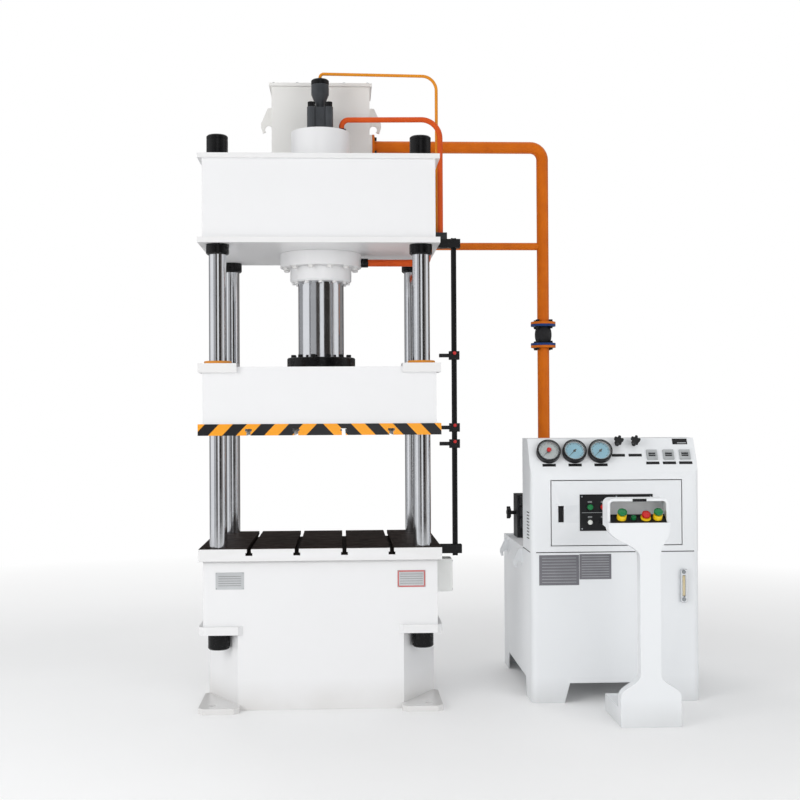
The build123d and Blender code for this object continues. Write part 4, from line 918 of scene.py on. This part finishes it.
@dataclass
class RamAndSlide:
    """Slide, ram and cylinder with their bolts. Lengths in metres."""

    bench: Bench
    bolts: int = 12
    half_step: float = 15.0
    flange_bolt_circle: float = 0.138
    flange_bolt: Point = (0.024, 0.014)
    gland_bolt_circle: float = 0.132
    gland_bolt: Point = (0.018, 0.010)
    cylinder_bolt_circle: float = 0.173
    cylinder_bolt: Point = (0.024, 0.014)
    shim_radius: float = 0.170
    shim_height: float = 0.004
    shim_shares: Profile = ((0.97, 0), (1, 0), (1, 0.7), (0.97, 1), (0.97, 0))

    def build(self) -> None:
        """Coat the slide, the ram and the cylinder, and set their bolts."""
        self.bench.dress(("slide", Coat.SLIDE, 2.0), ("guide_bushes", Coat.BRONZE, 0.8),
                         ("wiper_rings", Coat.AMBER, 1.5), ("ram_flange", Coat.BLACKENED, 1.5),
                         ("ram", Coat.CHROME, 1.0), ("main_cylinder", Coat.PRESS, 2.5),
                         ("cylinder_gland", Coat.PRESS, 2.0))
        slide_top, flange_top = (corner.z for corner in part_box("ram_flange"))
        heads = ring_points((0, 0, flange_top), self.flange_bolt_circle, self.bolts, start=self.half_step)
        self.bench.screws("flange_bolts", Head.SOCKET, heads, UP, self.flange_bolt,
                          Seat(Coat.BLACKENED, "blackened_steel", "slide_body"))
        self.bench.turned("flange_seal", sized(self.shim_shares, self.shim_radius, self.shim_height),
                          Matrix.Translation((0, 0, slide_top)),
                          Seat(Coat.AMBER, "amber_wiper", "slide_body"))
        paint = Seat(Coat.PRESS, "frame_paint")
        heads = ring_points((0, 0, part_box("cylinder_gland")[0].z), self.gland_bolt_circle, self.bolts)
        self.bench.screws("gland_bolts", Head.SOCKET, heads, DOWN, self.gland_bolt, paint)
        heads = ring_points((0, 0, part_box("main_cylinder")[0].z), self.cylinder_bolt_circle, self.bolts,
                            start=self.half_step)
        self.bench.screws("cylinder_bolts", Head.HEX, heads, DOWN, self.cylinder_bolt, paint)


@dataclass
class TopGear:
    """Filling valve, upper tank and pipes. Lengths in metres."""

    bench: Bench
    pipe_x: float = 1.132
    pipe_y: float = 0.262
    outlet_z: float = 2.696
    outlet_face_x: float = 0.259
    flange_thickness: float = 0.012
    flange_bolt_circle: float = 0.0475
    flange_bolts: int = 4
    flange_bolt_start: float = 45.0
    flange_bolt: Point = (0.017, 0.011)
    lid_bolts_x: int = 5
    lid_bolts_y: int = 3
    lid_bolt_inset: float = 0.022
    lid_bolt: Point = (0.013, 0.006)

    def build(self) -> None:
        """Coat everything above the crown and the pipes, and set their bolts."""
        self.bench.dress(("valve_block", Coat.CASTING, 1.5), ("valve_screws", Coat.BLACKENED, 1.2),
                         ("filling_valve", Coat.CASTING, 4.0, 3), ("valve_cap", Coat.BLACKENED, 1.5),
                         ("upper_tank", Coat.TANK, 3.0, 3), ("upper_tank_lid", Coat.TANK, 3.0, 3),
                         ("filling_pipe", Coat.ORANGE, 1.0), ("joint_flanges", Coat.BLUE, 1.0),
                         ("joint_ball", Coat.RUBBER_AND_SEAM_SHADE, 1.0), ("return_pipe", Coat.ORANGE, 0.8),
                         ("pressure_pipe", Coat.RED_ORANGE, 0.8), ("pilot_pipe", Coat.YELLOW_ORANGE, 0.5),
                         ("lower_port_pipe", Coat.RED_ORANGE, 0.8), ("pipe_unions", Coat.BLACKENED, 1.0),
                         ("side_manifold", Coat.BLACK_PAINT, 1.5))
        self.flange_sets()
        self.lid_screws()

    def flange_sets(self) -> None:
        """Set bolt heads and nuts on the pipe's flanges."""
        low, high = (corner.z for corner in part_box("joint_flanges"))
        thick = self.flange_thickness
        spots = (("joint_bolts_upper", high + thick, UP), ("joint_nuts_upper", high - thick, DOWN),
                 ("joint_bolts_lower", low - thick, DOWN), ("joint_nuts_lower", low + thick, UP),
                 ("tank_flange_bolts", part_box("oil_tank")[1].z + thick, UP))
        faces = [(name, (self.pipe_x, self.pipe_y, z), None, way) for name, z, way in spots]
        outlet = set_at((self.outlet_face_x + thick, self.pipe_y, self.outlet_z), RIGHT)
        faces.append(("outlet_bolts", ORIGIN, outlet, RIGHT))
        for name, centre, place, way in faces:
            heads = ring_points(centre, self.flange_bolt_circle, self.flange_bolts, place,
                                self.flange_bolt_start)
            self.bench.screws(name, Head.HEX, heads, way, self.flange_bolt,
                              Seat(Coat.BLACKENED, "blackened_steel"))

    def lid_screws(self) -> None:
        """Set screws along the edge of the tank's lid."""
        low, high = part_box("upper_tank_lid")
        x0, x1 = low.x + self.lid_bolt_inset, high.x - self.lid_bolt_inset
        y0, y1 = low.y + self.lid_bolt_inset, high.y - self.lid_bolt_inset
        points = []
        for i in range(self.lid_bolts_x):
            x = x0 + (x1 - x0) * i / (self.lid_bolts_x - 1)
            points += [(x, y0, high.z), (x, y1, high.z)]
        for i in range(1, self.lid_bolts_y - 1):
            y = y0 + (y1 - y0) * i / (self.lid_bolts_y - 1)
            points += [(x0, y, high.z), (x1, y, high.z)]
        self.bench.screws("lid_screws", Head.HEX, points, UP, self.lid_bolt, Seat(Coat.ZINC, "tank_paint"))


@dataclass
class StrokeLimits:
    """Limit rod with its switches and the terminal box. Lengths in metres."""

    bench: Bench
    switch_heights: Sequence[float] = (1.605, 1.270, 1.195)
    rod_x: float = 0.622
    clamp_front: float = -0.317
    knob_radius: float = 0.008
    knob_length: float = 0.012
    knob_lift: float = 0.010
    knob_steps: int = 24
    screw_inset: float = 0.010
    screw_size: Point = (0.007, 0.002)

    def build(self) -> None:
        """Coat the rod and set red clamping knobs on its switches."""
        self.bench.dress(("limit_rod", Coat.BLACKENED, 0.8), ("limit_switches", Coat.BLACK_PLASTIC, 1.5),
                         ("terminal_box", Coat.WHITE_PLASTIC, 1.0))
        profile = sized(CLAMP_KNOB_SHARES, self.knob_radius, self.knob_length)
        for i, z in enumerate(self.switch_heights):
            spot = set_at((self.rod_x, self.clamp_front, z + self.knob_lift), FRONT)
            self.bench.turned(f"clamp_knob_{i + 1}", profile, spot, Seat(Coat.RED_PLASTIC, "red_plastic"),
                              self.knob_steps)
        low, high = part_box("terminal_box")
        inset = self.screw_inset
        points = [(high.x, y, z) for y in (low.y + inset, high.y - inset)
                  for z in (low.z + inset, high.z - inset)]
        self.bench.screws("terminal_screws", Head.PAN, points, RIGHT, self.screw_size,
                          Seat(Coat.ZINC, "white_plastic"))


@dataclass
class PowerUnit:
    """Oil tank, console with its instruments, and pump set. Lengths in metres."""

    bench: Bench
    slope_foot: Point = (-0.372, 1.055)
    slope_run: float = 0.090
    slope_rise: float = 0.160
    gauge_places: Sequence[float] = (1.056, 1.177, 1.298)
    gauge_z: float = 1.148
    dial_lift: float = 0.0203
    dial_radius: float = 0.0498
    dial_edge: float = 0.0425
    card_thickness: float = 0.0004
    mark_circle: float = 0.0375
    mark_start: float = 225.0
    long_marks: Sequence[float] = (11, -27.0, 0.007, 0.0015)
    short_marks: Sequence[float] = (51, -5.4, 0.0035, 0.0008)
    bezel_low: float = 0.021
    bezel_inside: float = 0.025
    bezel_outside: float = 0.031
    glass_lift: float = 0.0322
    glass_height: float = 0.0017
    small_steps: int = 32
    counter_places: Sequence[float] = (1.542, 1.620, 1.697)
    counter_z: float = 1.136
    counter_bar: Point = (0.031, 0.0076)
    counter_bar_gap: float = 0.0026
    counter_bar_thickness: float = 0.0015
    counter_bar_edge: float = 0.0005
    counter_floor: float = 0.0045
    knob_places: Sequence[float] = (1.385, 1.464)
    label_size: Point = (0.062, 0.014)
    gauge_label_z: float = 1.093
    knob_label_z: float = 1.136
    counter_label_z: float = 1.100
    corner_plate: Point = (1.683, 1.198)
    corner_plate_size: Point = (0.070, 0.030)
    corner_line_place_shares: Point = (0.12, -0.27)
    corner_line_size_shares: Point = (0.6, 0.16)
    strip_sunk: float = 0.0002
    strip_proud: float = 0.001
    strip_edge: float = 0.0004
    tank_plates: Sequence[tuple[Point, Point]] = (
        ((1.003, 0.541), (1.188, 0.680)),
        ((1.190, 0.567), (1.338, 0.683)),
    )
    tank_plate_thickness: float = 0.0012
    tank_rules: int = 9
    tank_rule_share: float = 0.86
    tank_rule_section: Point = (0.0006, 0.0022)
    panel_first: Point = (1.240, 0.900)
    panel_columns: int = 5
    panel_rows: int = 2
    panel_pitch: float = 0.061
    panel_row_gap: float = 0.070
    panel_thickness: float = 0.003
    panel_moving: Sequence[tuple[int, int]] = ((0, 0), (1, 0), (1, 1))
    panel_screw_inset: float = 0.010
    panel_screw: Point = (0.007, 0.0022)
    divider_half_height: float = 0.0008
    divider_proud: float = 0.0004
    divider_sunk: float = 0.0002
    print_edge: float = 0.0001
    print_lines: int = 2
    print_pitch: float = 0.005
    print_size: Point = (0.020, 0.0005, 0.002)
    print_proud: float = 0.0001
    print_rise: float = 0.021
    oil_half: Point = (0.006, 0.046)
    oil_depth: Point = (0.003, 0.006)
    oil_edge: float = 0.0008
    level_bolt_rise: float = 0.063
    level_bolt: Point = (0.014, 0.008)
    console_corner: float = 0.024
    # Black strips at the console's foot: painted shade along its seam with the tank
    seam_shade_height: float = 0.004
    seam_shade_proud: float = 0.0006
    # Louvres in the console's left side, drawn as black bars of painted shade
    louvres: int = 9
    louvre_size: Point = (0.0006, 0.070, 0.005)
    louvre_pitch: float = 0.015
    louvre_first: Point = (0.083, 0.060)

    def on_slope(self, x: float, z: float) -> Matrix:
        """Return the place on the sloped face at an X and a height."""
        foot_y, foot_z = self.slope_foot
        y = foot_y + (z - foot_z) / self.slope_rise * self.slope_run
        return set_at((x, y, z), (0, -self.slope_rise, self.slope_run))

    def build(self) -> None:
        """Coat the unit and fit its instruments."""
        needles = [(f"gauge_needle_{i + 1}", Coat.INK_AND_LOUVRE_SHADE, 0.3) for i in range(len(self.gauge_places))]
        self.bench.dress(("oil_tank", Coat.UNIT, 1.2), ("console", Coat.UNIT, 1.2),
                         ("console_door", Coat.UNIT, 1.2), ("control_panel", Coat.BLACK_PLASTIC, 0.8),
                         ("panel_start_button", Coat.GREEN_PLASTIC, 1.5),
                         ("panel_stop_button", Coat.RED_PLASTIC, 1.5),
                         ("panel_selector", Coat.BLACK_PLASTIC, 1.2),
                         ("door_handle", Coat.BLACK_PLASTIC, 1.2),
                         ("gauge_cases", Coat.BLACK_PLASTIC, 1.5), *needles,
                         ("star_knob_left", Coat.BLACK_PLASTIC, 2.5, 3),
                         ("star_knob_right", Coat.BLACK_PLASTIC, 2.5, 3),
                         ("hand_knob", Coat.BLACK_PLASTIC, 3.0, 3), ("counters", Coat.GREY_PLASTIC, 1.2),
                         ("oil_level_gauge", Coat.CHROME, 2.0), ("motor", Coat.BLACK_PAINT, 1.0),
                         ("motor_rotor", Coat.ZINC, 0.8), ("pump_set", Coat.CASTING, 2.0),
                         ("valve_manifold", Coat.BLACK_PAINT, 1.5))
        for i, x in enumerate(self.gauge_places):
            self.gauge(i + 1, self.on_slope(x, self.gauge_z))
        self.counters()
        self.labels()
        self.instruction_plates()
        self.panel_fittings()
        self.panel_places()
        self.sight_glass()
        self.console_side()

    def gauge(self, number: int, face: Matrix) -> None:
        """Fit dial, scale marks, bezel and glass in a gauge case, and a setting knob on the first one.

        Args:
            number: Number of the gauge, from the left.
            face: Place of its middle on the slope.
        """
        bench, radius, edge = self.bench, self.dial_radius, self.dial_edge
        black = "black_plastic"
        dial = Coat.PALE_DIAL if number == 1 else Coat.DIAL
        bench.turned(f"gauge_dial_{number}", sized(DIAL_CARD, radius, MM), lifted(face, self.dial_lift),
                     Seat(dial, "white_plastic"))
        for kind, marks in (("long", self.long_marks), ("short", self.short_marks)):
            count, step, length, width = marks
            values = {"Count": count, "Start": math.radians(self.mark_start), "Step": math.radians(step),
                      "Radius": self.mark_circle, "Length": length, "Width": width}
            bench.grown(f"gauge_{kind}_marks_{number}", tick_tree(), values, Seat(Coat.INK_AND_LOUVRE_SHADE, black),
                        at=lifted(face, self.dial_lift + self.card_thickness))
        bezel = ((edge, self.bezel_low), (radius, self.bezel_low), (radius, self.bezel_outside),
                 (edge, self.bezel_inside), (edge, self.bezel_low))
        bench.turned(f"gauge_bezel_{number}", bezel, face, Seat(Coat.BLACK_PLASTIC, black))
        bench.turned(f"gauge_lip_{number}", sized(DIAL_LIP, edge, MM), face,
                     Seat(Coat.CHROME, "chromed_steel"))
        if number == 1:
            bench.turned("gauge_setting_knob", sized(SETTING_KNOB, MM, MM),
                         lifted(face, self.glass_lift + self.glass_height),
                         Seat(Coat.RED_PLASTIC, "red_plastic"), self.small_steps)
        bench.turned(f"gauge_glass_{number}", sized(DIAL_GLASS, radius, MM), lifted(face, self.glass_lift),
                     Seat(Coat.GLASS, "white_plastic"))

    def counters(self) -> None:
        """Fit two dark bars in each counter."""
        wide, tall = self.counter_bar
        floor = self.counter_floor
        for i, x in enumerate(self.counter_places):
            face = self.on_slope(x, self.counter_z)
            for name, way in (("upper", 1), ("lower", -1)):
                middle = way * (tall + self.counter_bar_gap) / 2
                self.bench.block(f"counter_{name}_bar_{i + 1}", (-wide / 2, middle - tall / 2, floor),
                                 (wide / 2, middle + tall / 2, floor + self.counter_bar_thickness),
                                 self.counter_bar_edge, Seat(Coat.DISPLAY, "black_plastic"), face)

    def labels(self) -> None:
        """Set bare black strips below the instruments and a bare plate in the slope's upper corner."""
        rows = ((self.gauge_places, self.gauge_label_z), (self.knob_places, self.knob_label_z),
                (self.counter_places, self.counter_label_z))
        places = [(x, z) for row, z in rows for x in row]
        for i, (x, z) in enumerate(places):
            self.strip(f"label_strip_{i + 1}", self.on_slope(x, z), self.label_size, Coat.BLACK_PLASTIC)
        corner = self.on_slope(*self.corner_plate)
        self.strip("corner_plate", corner, self.corner_plate_size, Coat.BLACK_PLASTIC)
        size = Vector(self.corner_plate_size)
        shift = size * Vector(self.corner_line_place_shares)
        line = corner @ Matrix.Translation((*shift, self.strip_proud))
        self.strip("corner_plate_line", line, size * Vector(self.corner_line_size_shares), Coat.GREY_PLASTIC)

    def strip(self, name: str, face: Matrix, size: Point, coat: Coat) -> None:
        """Set a thin bare plate on a face.

        Args:
            name: Piece's name.
            face: Place of its middle, with Z out of the face.
            size: Width and height.
            coat: Finish.
        """
        wide, tall = size[0] / 2, size[1] / 2
        self.bench.block(name, (-wide, -tall, -self.strip_sunk), (wide, tall, self.strip_proud),
                         self.strip_edge, Seat(coat, "black_plastic"), face)

    def instruction_plates(self) -> None:
        """Set two grey plates with ruled lines on the oil tank's front."""
        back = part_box("console")[0].y
        front = back - self.tank_plate_thickness
        for i, ((left, bottom), (right, top)) in enumerate(self.tank_plates):
            self.bench.block(f"tank_plate_{i + 1}", (left, front, bottom), (right, back, top),
                             self.strip_edge, Seat(Coat.ETCHED, "unit_paint"))
            pitch = (top - bottom) / (self.tank_rules + 1)
            size = (self.tank_rule_share * (right - left), *self.tank_rule_section)
            self.bench.bars(f"tank_plate_rules_{i + 1}", self.tank_rules, pitch, size,
                            ((left + right) / 2, front, bottom + pitch),
                            Seat(Coat.GREY_PLASTIC, "unit_paint"))

    def panel_fittings(self) -> None:
        """Fit the control panel's screws and its dividing line."""
        low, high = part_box("control_panel")
        face = high.y - self.panel_thickness
        inset = self.panel_screw_inset
        middle_x, middle_z = (low.x + high.x) / 2, (low.z + high.z) / 2
        points = [(x, face, z) for x in (low.x + inset, middle_x, high.x - inset)
                  for z in (low.z + inset, high.z - inset)]
        slot = "black_plastic"
        self.bench.screws("panel_screws", Head.PAN, points, FRONT, self.panel_screw,
                          Seat(Coat.ZINC, slot, "door"))
        self.bench.sheet("panel_divider", (middle_x, middle_z),
                         ((high.x - low.x) / 2 - inset, self.divider_half_height),
                         (face - self.divider_proud, face + self.divider_sunk), self.print_edge,
                         Seat(Coat.GREY_PLASTIC, slot, "door"))

    def panel_places(self) -> None:
        """Print two bare lines over each place of the panel, and fit a lens where nothing moves."""
        low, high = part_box("control_panel")
        printed_y = high.y - self.panel_thickness - self.print_proud
        lens = sized(LAMP_LENS, MM, MM)
        for row in range(self.panel_rows):
            for column in range(self.panel_columns):
                place = f"{row + 1}_{column + 1}"
                x = self.panel_first[0] + self.panel_pitch * column
                z = self.panel_first[1] - self.panel_row_gap * row
                self.bench.bars(f"panel_print_{place}", self.print_lines, self.print_pitch, self.print_size,
                                (x, printed_y, z + self.print_rise),
                                Seat(Coat.GREY_PLASTIC, "black_plastic", "door"))
                if (column, row) not in self.panel_moving:
                    self.bench.turned(f"panel_lamp_{place}", lens, set_at((x, low.y, z), FRONT),
                                      Seat(Coat.LENS, "white_plastic", "door"), self.small_steps)

    def sight_glass(self) -> None:
        """Fit the oil column and two bolts on the level gauge."""
        low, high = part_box("oil_level_gauge")
        x, z = (low.x + high.x) / 2, (low.z + high.z) / 2
        slot = "chromed_steel"
        self.bench.sheet("level_oil", (x, z), self.oil_half, [low.y + deep for deep in self.oil_depth],
                         self.oil_edge, Seat(Coat.OIL, slot))
        points = [(x, low.y, z + way * self.level_bolt_rise) for way in (-1, 1)]
        self.bench.screws("level_bolts", Head.HEX, points, FRONT, self.level_bolt, Seat(Coat.ZINC, slot))

    def console_side(self) -> None:
        """Lay black rubber strips as painted shade along the console's seam with the tank, and draw the louvres in its
        left side as black bars of painted shade.
        """
        low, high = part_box("console")
        proud, corner, half = self.seam_shade_proud, self.console_corner, self.seam_shade_height / 2
        spans = {"front": ((low.x + corner, low.y - proud), (high.x - corner, low.y + proud)),
                 "left": ((low.x - proud, low.y + corner), (low.x + proud, high.y)),
                 "right": ((high.x - proud, low.y + corner), (high.x + proud, high.y))}
        # The strips are painted shade: a black line where the console meets the tank, in place of its shadow
        for side, (start, end) in spans.items():
            self.bench.block(f"console_seam_shade_{side}", (*start, low.z - half), (*end, low.z + half),
                             self.print_edge, Seat(Coat.RUBBER_AND_SEAM_SHADE, "black_rubber"))
        # The louvre bars are painted shade: black where the openings in the side are in shadow
        back, rise = self.louvre_first
        self.bench.bars("console_louvre_shade", self.louvres, self.louvre_pitch, self.louvre_size,
                        (low.x, low.y + back, low.z + rise), Seat(Coat.INK_AND_LOUVRE_SHADE, "black_plastic"))


@dataclass
class Pedestal:
    """Two-hand control pedestal. Lengths in metres."""

    bench: Bench
    strip_front: Point = (-0.846, 0.867)
    strip_run: float = 0.052
    strip_rise: float = 0.032
    palm_places: Sequence[tuple[str, float]] = (("left", 1.286), ("right", 1.441))
    palm_radius: float = 0.020
    palm_heights: Point = (0.028, 0.046)
    stem_radius: float = 0.011
    stem_low: float = -0.005
    stop_x: float = 1.390
    stop_radius: float = 0.019
    stop_heights: Point = (0.014, 0.034)
    cap_underside_share: float = 0.94
    cap_edge_share: float = 0.12
    cap_side_share: float = 0.45
    dome_power: float = 0.75
    dome_steps: int = 7
    cap_steps: int = 48
    plate_x: float = 1.362
    plate_size: Point = (0.060, 0.012)
    plate_drop: float = 0.0015
    plate_proud: float = 0.0008
    plate_sunk: float = 0.0002
    plate_edge: float = 0.0003

    def on_strip(self, x: float) -> Matrix:
        """Return the place in the middle of the button strip at an X."""
        y = self.strip_front[0] + self.strip_run / 2
        z = self.strip_front[1] + self.strip_rise / 2
        return set_at((x, y, z), (0, -self.strip_rise, self.strip_run))

    def build(self) -> None:
        """Coat the pedestal and turn its mushroom buttons."""
        shells = [(f"pedestal_{part}", Coat.UNIT, 2.0, 3) for part in ("post", "base", "head")]
        self.bench.dress(*shells, ("button_strip", Coat.BLACK_PLASTIC, 0.6),
                         ("button_collars", Coat.YELLOW_PLASTIC, 1.5),
                         ("start_button", Coat.GREEN_PLASTIC, 1.5))
        for side, x in self.palm_places:
            seat = Seat(Coat.GREEN_PLASTIC, "green_plastic", f"palm_{side}", (f"palm_button_{side}",))
            self.mushroom(f"palm_cap_{side}", x, self.palm_radius, self.palm_heights, seat)
        self.mushroom("stop_cap", self.stop_x, self.stop_radius, self.stop_heights,
                      Seat(Coat.RED_PLASTIC, "red_plastic", "stop", ("stop_button",)))
        self.hood_plate()

    def mushroom(self, name: str, x: float, radius: float, heights: Point, seat: Seat) -> None:
        """Turn a domed button on its stem.

        Args:
            name: Piece's name.
            x: Place along the strip.
            radius: Cap's radius.
            heights: Heights of the cap's underside and its top above the strip.
            seat: Where it belongs.
        """
        low, high = heights
        cap, side = high - low, self.cap_side_share
        profile = [(0, self.stem_low), (self.stem_radius, self.stem_low), (self.stem_radius, low),
                   (self.cap_underside_share * radius, low), (radius, low + self.cap_edge_share * cap),
                   (radius, low + side * cap)]
        for i in range(1, self.dome_steps):
            angle = math.pi / 2 * i / self.dome_steps
            profile.append((radius * math.cos(angle) ** self.dome_power,
                            low + cap * (side + (1 - side) * math.sin(angle))))
        profile.append((0, high))
        self.bench.turned(name, profile, self.on_strip(x), seat, self.cap_steps)

    def hood_plate(self) -> None:
        """Set the small bare plate on the hood's edge."""
        low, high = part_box("pedestal_head")
        half = Vector(self.plate_size) / 2
        self.bench.sheet("hood_plate", (self.plate_x, high.z - self.plate_drop - half.y), half,
                         (low.y - self.plate_proud, low.y + self.plate_sunk), self.plate_edge,
                         Seat(Coat.BLACK_PLASTIC, "black_plastic"))


@dataclass
class Studio:
    """Plain floor, soft lamps and the camera of the photograph. Lengths in metres."""

    camera_place: Point = (0.095, -6.10, 1.332)
    camera_turn: Point = (90.66, 0.3, -2.7)
    lens_mm: float = 56.25
    floor_size: float = 40.0
    floor_clear: Point = (2.2, 6.0)
    white: str = "#FFFFFF"
    world_colour: str = "#F6F7F8"
    world_strength: float = 0.62
    lamps: Sequence[tuple[str, Point, Point, float, float]] = (
        ("key_lamp", (-3.8, -4.2, 2.5), (0.4, 0.0, 0.9), 3.0, 112.0),
        ("fill_lamp", (3.4, -5.0, 2.0), (0.7, 0.0, 0.8), 3.2, 60.0),
        ("top_lamp", (0.4, 0.6, 6.2), (0.4, 0.0, 1.0), 4.0, 36.0),
        ("back_lamp", (-1.5, 5.2, 3.8), (0.4, 0.0, 1.5), 3.0, 50.0),
    )
    cards: Sequence[tuple[float, float, str]] = (
        (-180.0, -150.0, "#2A2725"),
        (-150.0, -104.0, "#A4A4A6"),
        (-104.0, -52.0, "#FAFAFC"),
        (-52.0, -24.0, "#B4B4B6"),
        (-24.0, -5.0, "#4A4644"),
        (-5.0, 15.0, "#F4F4F6"),
        (15.0, 46.0, "#383432"),
        (46.0, 66.0, "#9C9896"),
        (66.0, 98.0, "#F4F4F6"),
        (98.0, 146.0, "#8C8886"),
        (146.0, 180.0, "#2A2725"),
    )
    card_radius: float = 8.0
    card_low: float = 0.02
    card_height: float = 5.5
    card_step: float = 6.0

    def build(self) -> None:
        """Set the floor, the light and the camera."""
        scene = bpy.context.scene
        scene.view_settings.view_transform = "Standard"
        half = self.floor_size / 2
        corners = [(-half, -half, 0), (half, -half, 0), (half, half, 0), (-half, half, 0)]
        mesh = bpy.data.meshes.new("studio_floor")
        mesh.from_pydata(corners, [], [(0, 1, 2, 3)])
        mesh.materials.append(self.floor_paper())
        link("studio_floor", mesh)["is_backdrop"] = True
        scene.world = self.world()
        for i, (start, end, tone) in enumerate(self.cards):
            self.card(f"card_{i + 1}", start, end, tone)
        for name, place, aim, size, power in self.lamps:
            lamp = bpy.data.lights.new(name, "AREA")
            lamp.size = size
            lamp.energy = power
            holder = link(name, lamp)
            holder.location = place
            holder.rotation_euler = (Vector(aim) - Vector(place)).to_track_quat("-Z", "Y").to_euler()
            holder.visible_camera = False
            holder.visible_glossy = False
        camera = bpy.data.cameras.new("photo_camera")
        camera.lens = self.lens_mm
        camera.sensor_fit = "HORIZONTAL"
        scene.camera = link("photo_camera", camera)
        scene.camera.location = self.camera_place
        scene.camera.rotation_euler = [math.radians(angle) for angle in self.camera_turn]

    def world(self) -> bpy.types.World:
        """Return the soft light all round, which the camera, mirrors and glass see as plain white."""
        world = bpy.data.worlds.new("studio_light")
        world.use_nodes = True
        tree = world.node_tree
        soft = tree.nodes["Background"]
        soft.inputs["Color"].default_value = linear(self.world_colour)
        soft.inputs["Strength"].default_value = self.world_strength
        screen = add(tree, "ShaderNodeBackground", {"Color": linear(self.white), "Strength": 1.0})
        path = add(tree, "ShaderNodeLightPath").outputs
        seen = maths(tree, "MAXIMUM", path["Is Camera Ray"], path["Is Glossy Ray"])
        seen = maths(tree, "MAXIMUM", seen, path["Is Transmission Ray"])
        mixed = add(tree, "ShaderNodeMixShader", {0: seen, 1: soft.outputs["Background"],
                                                  2: screen.outputs["Background"]})
        tree.links.new(mixed.outputs["Shader"], tree.nodes["World Output"].inputs["Surface"])
        return world

    def card(self, name: str, start: float, end: float, tone: str) -> None:
        """Stand a curved grey card round the studio that only mirrors show.

        Args:
            name: Card's name.
            start: Angle where it starts, in degrees from the camera's side, to the right.
            end: Angle where it ends.
            tone: Its grey.
        """
        steps = max(2, int((end - start) / self.card_step))
        angles = [math.radians(start + (end - start) * i / steps) for i in range(steps + 1)]
        rim = [(self.card_radius * math.sin(a), -self.card_radius * math.cos(a)) for a in angles]
        points = [(x, y, z) for z in (self.card_low, self.card_height) for x, y in rim]
        mesh = bpy.data.meshes.new(name)
        mesh.from_pydata(points, [], [(i, i + 1, i + steps + 2, i + steps + 1) for i in range(steps)])
        paper = bpy.data.materials.new(name)
        paper.use_nodes = True
        tree = paper.node_tree
        glow = add(tree, "ShaderNodeEmission", {"Color": linear(tone), "Strength": 1.0})
        tree.links.new(glow.outputs["Emission"], tree.nodes["Material Output"].inputs["Surface"])
        mesh.materials.append(paper)
        card = link(name, mesh)
        card.visible_camera = False
        card.visible_diffuse = False
        card.visible_shadow = False
        card.visible_transmission = False
        card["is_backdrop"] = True

    def floor_paper(self) -> Material:
        """Return the floor's material: matte near the press, clear white towards the horizon."""
        paper = Finish("studio_floor", self.white, "#F8F8F8", drift_mm=2000.0, roughness=0.7, ior=1.1,
                       grain_depth_mm=0.0).material()
        tree = paper.node_tree
        place = add(tree, "ShaderNodeTexCoord").outputs["Object"]
        away = add(tree, "ShaderNodeVectorMath", {"operation": "LENGTH", 0: place}).outputs["Value"]
        camera = add(tree, "ShaderNodeLightPath").outputs["Is Camera Ray"]
        seen = maths(tree, "MULTIPLY", ranged(tree, away, self.floor_clear), camera)
        glow = add(tree, "ShaderNodeEmission", {"Color": linear(self.white), "Strength": 1.0})
        mixed = add(tree, "ShaderNodeMixShader", {0: seen, 1: tree.nodes["Principled BSDF"].outputs["BSDF"],
                                                  2: glow.outputs["Emission"]})
        tree.links.new(mixed.outputs["Shader"], tree.nodes["Material Output"].inputs["Surface"])
        return paper


def main() -> None:
    """Dress the press piece by piece and work out the size of the result."""
    logging.basicConfig(level=logging.INFO, format="%(name)s: %(message)s")
    bench = Bench()
    for assembly in (PressFrame(bench), RamAndSlide(bench), TopGear(bench), StrokeLimits(bench),
                     PowerUnit(bench), Pedestal(bench), Studio()):
        assembly.build()
        LOG.info("built %s", type(assembly).__name__)
    sizes = {"cad": [list(corner) for corner in bench.cad_box], "visual": [list(corner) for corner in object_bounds()]}


if __name__ == "__main__":
    main()
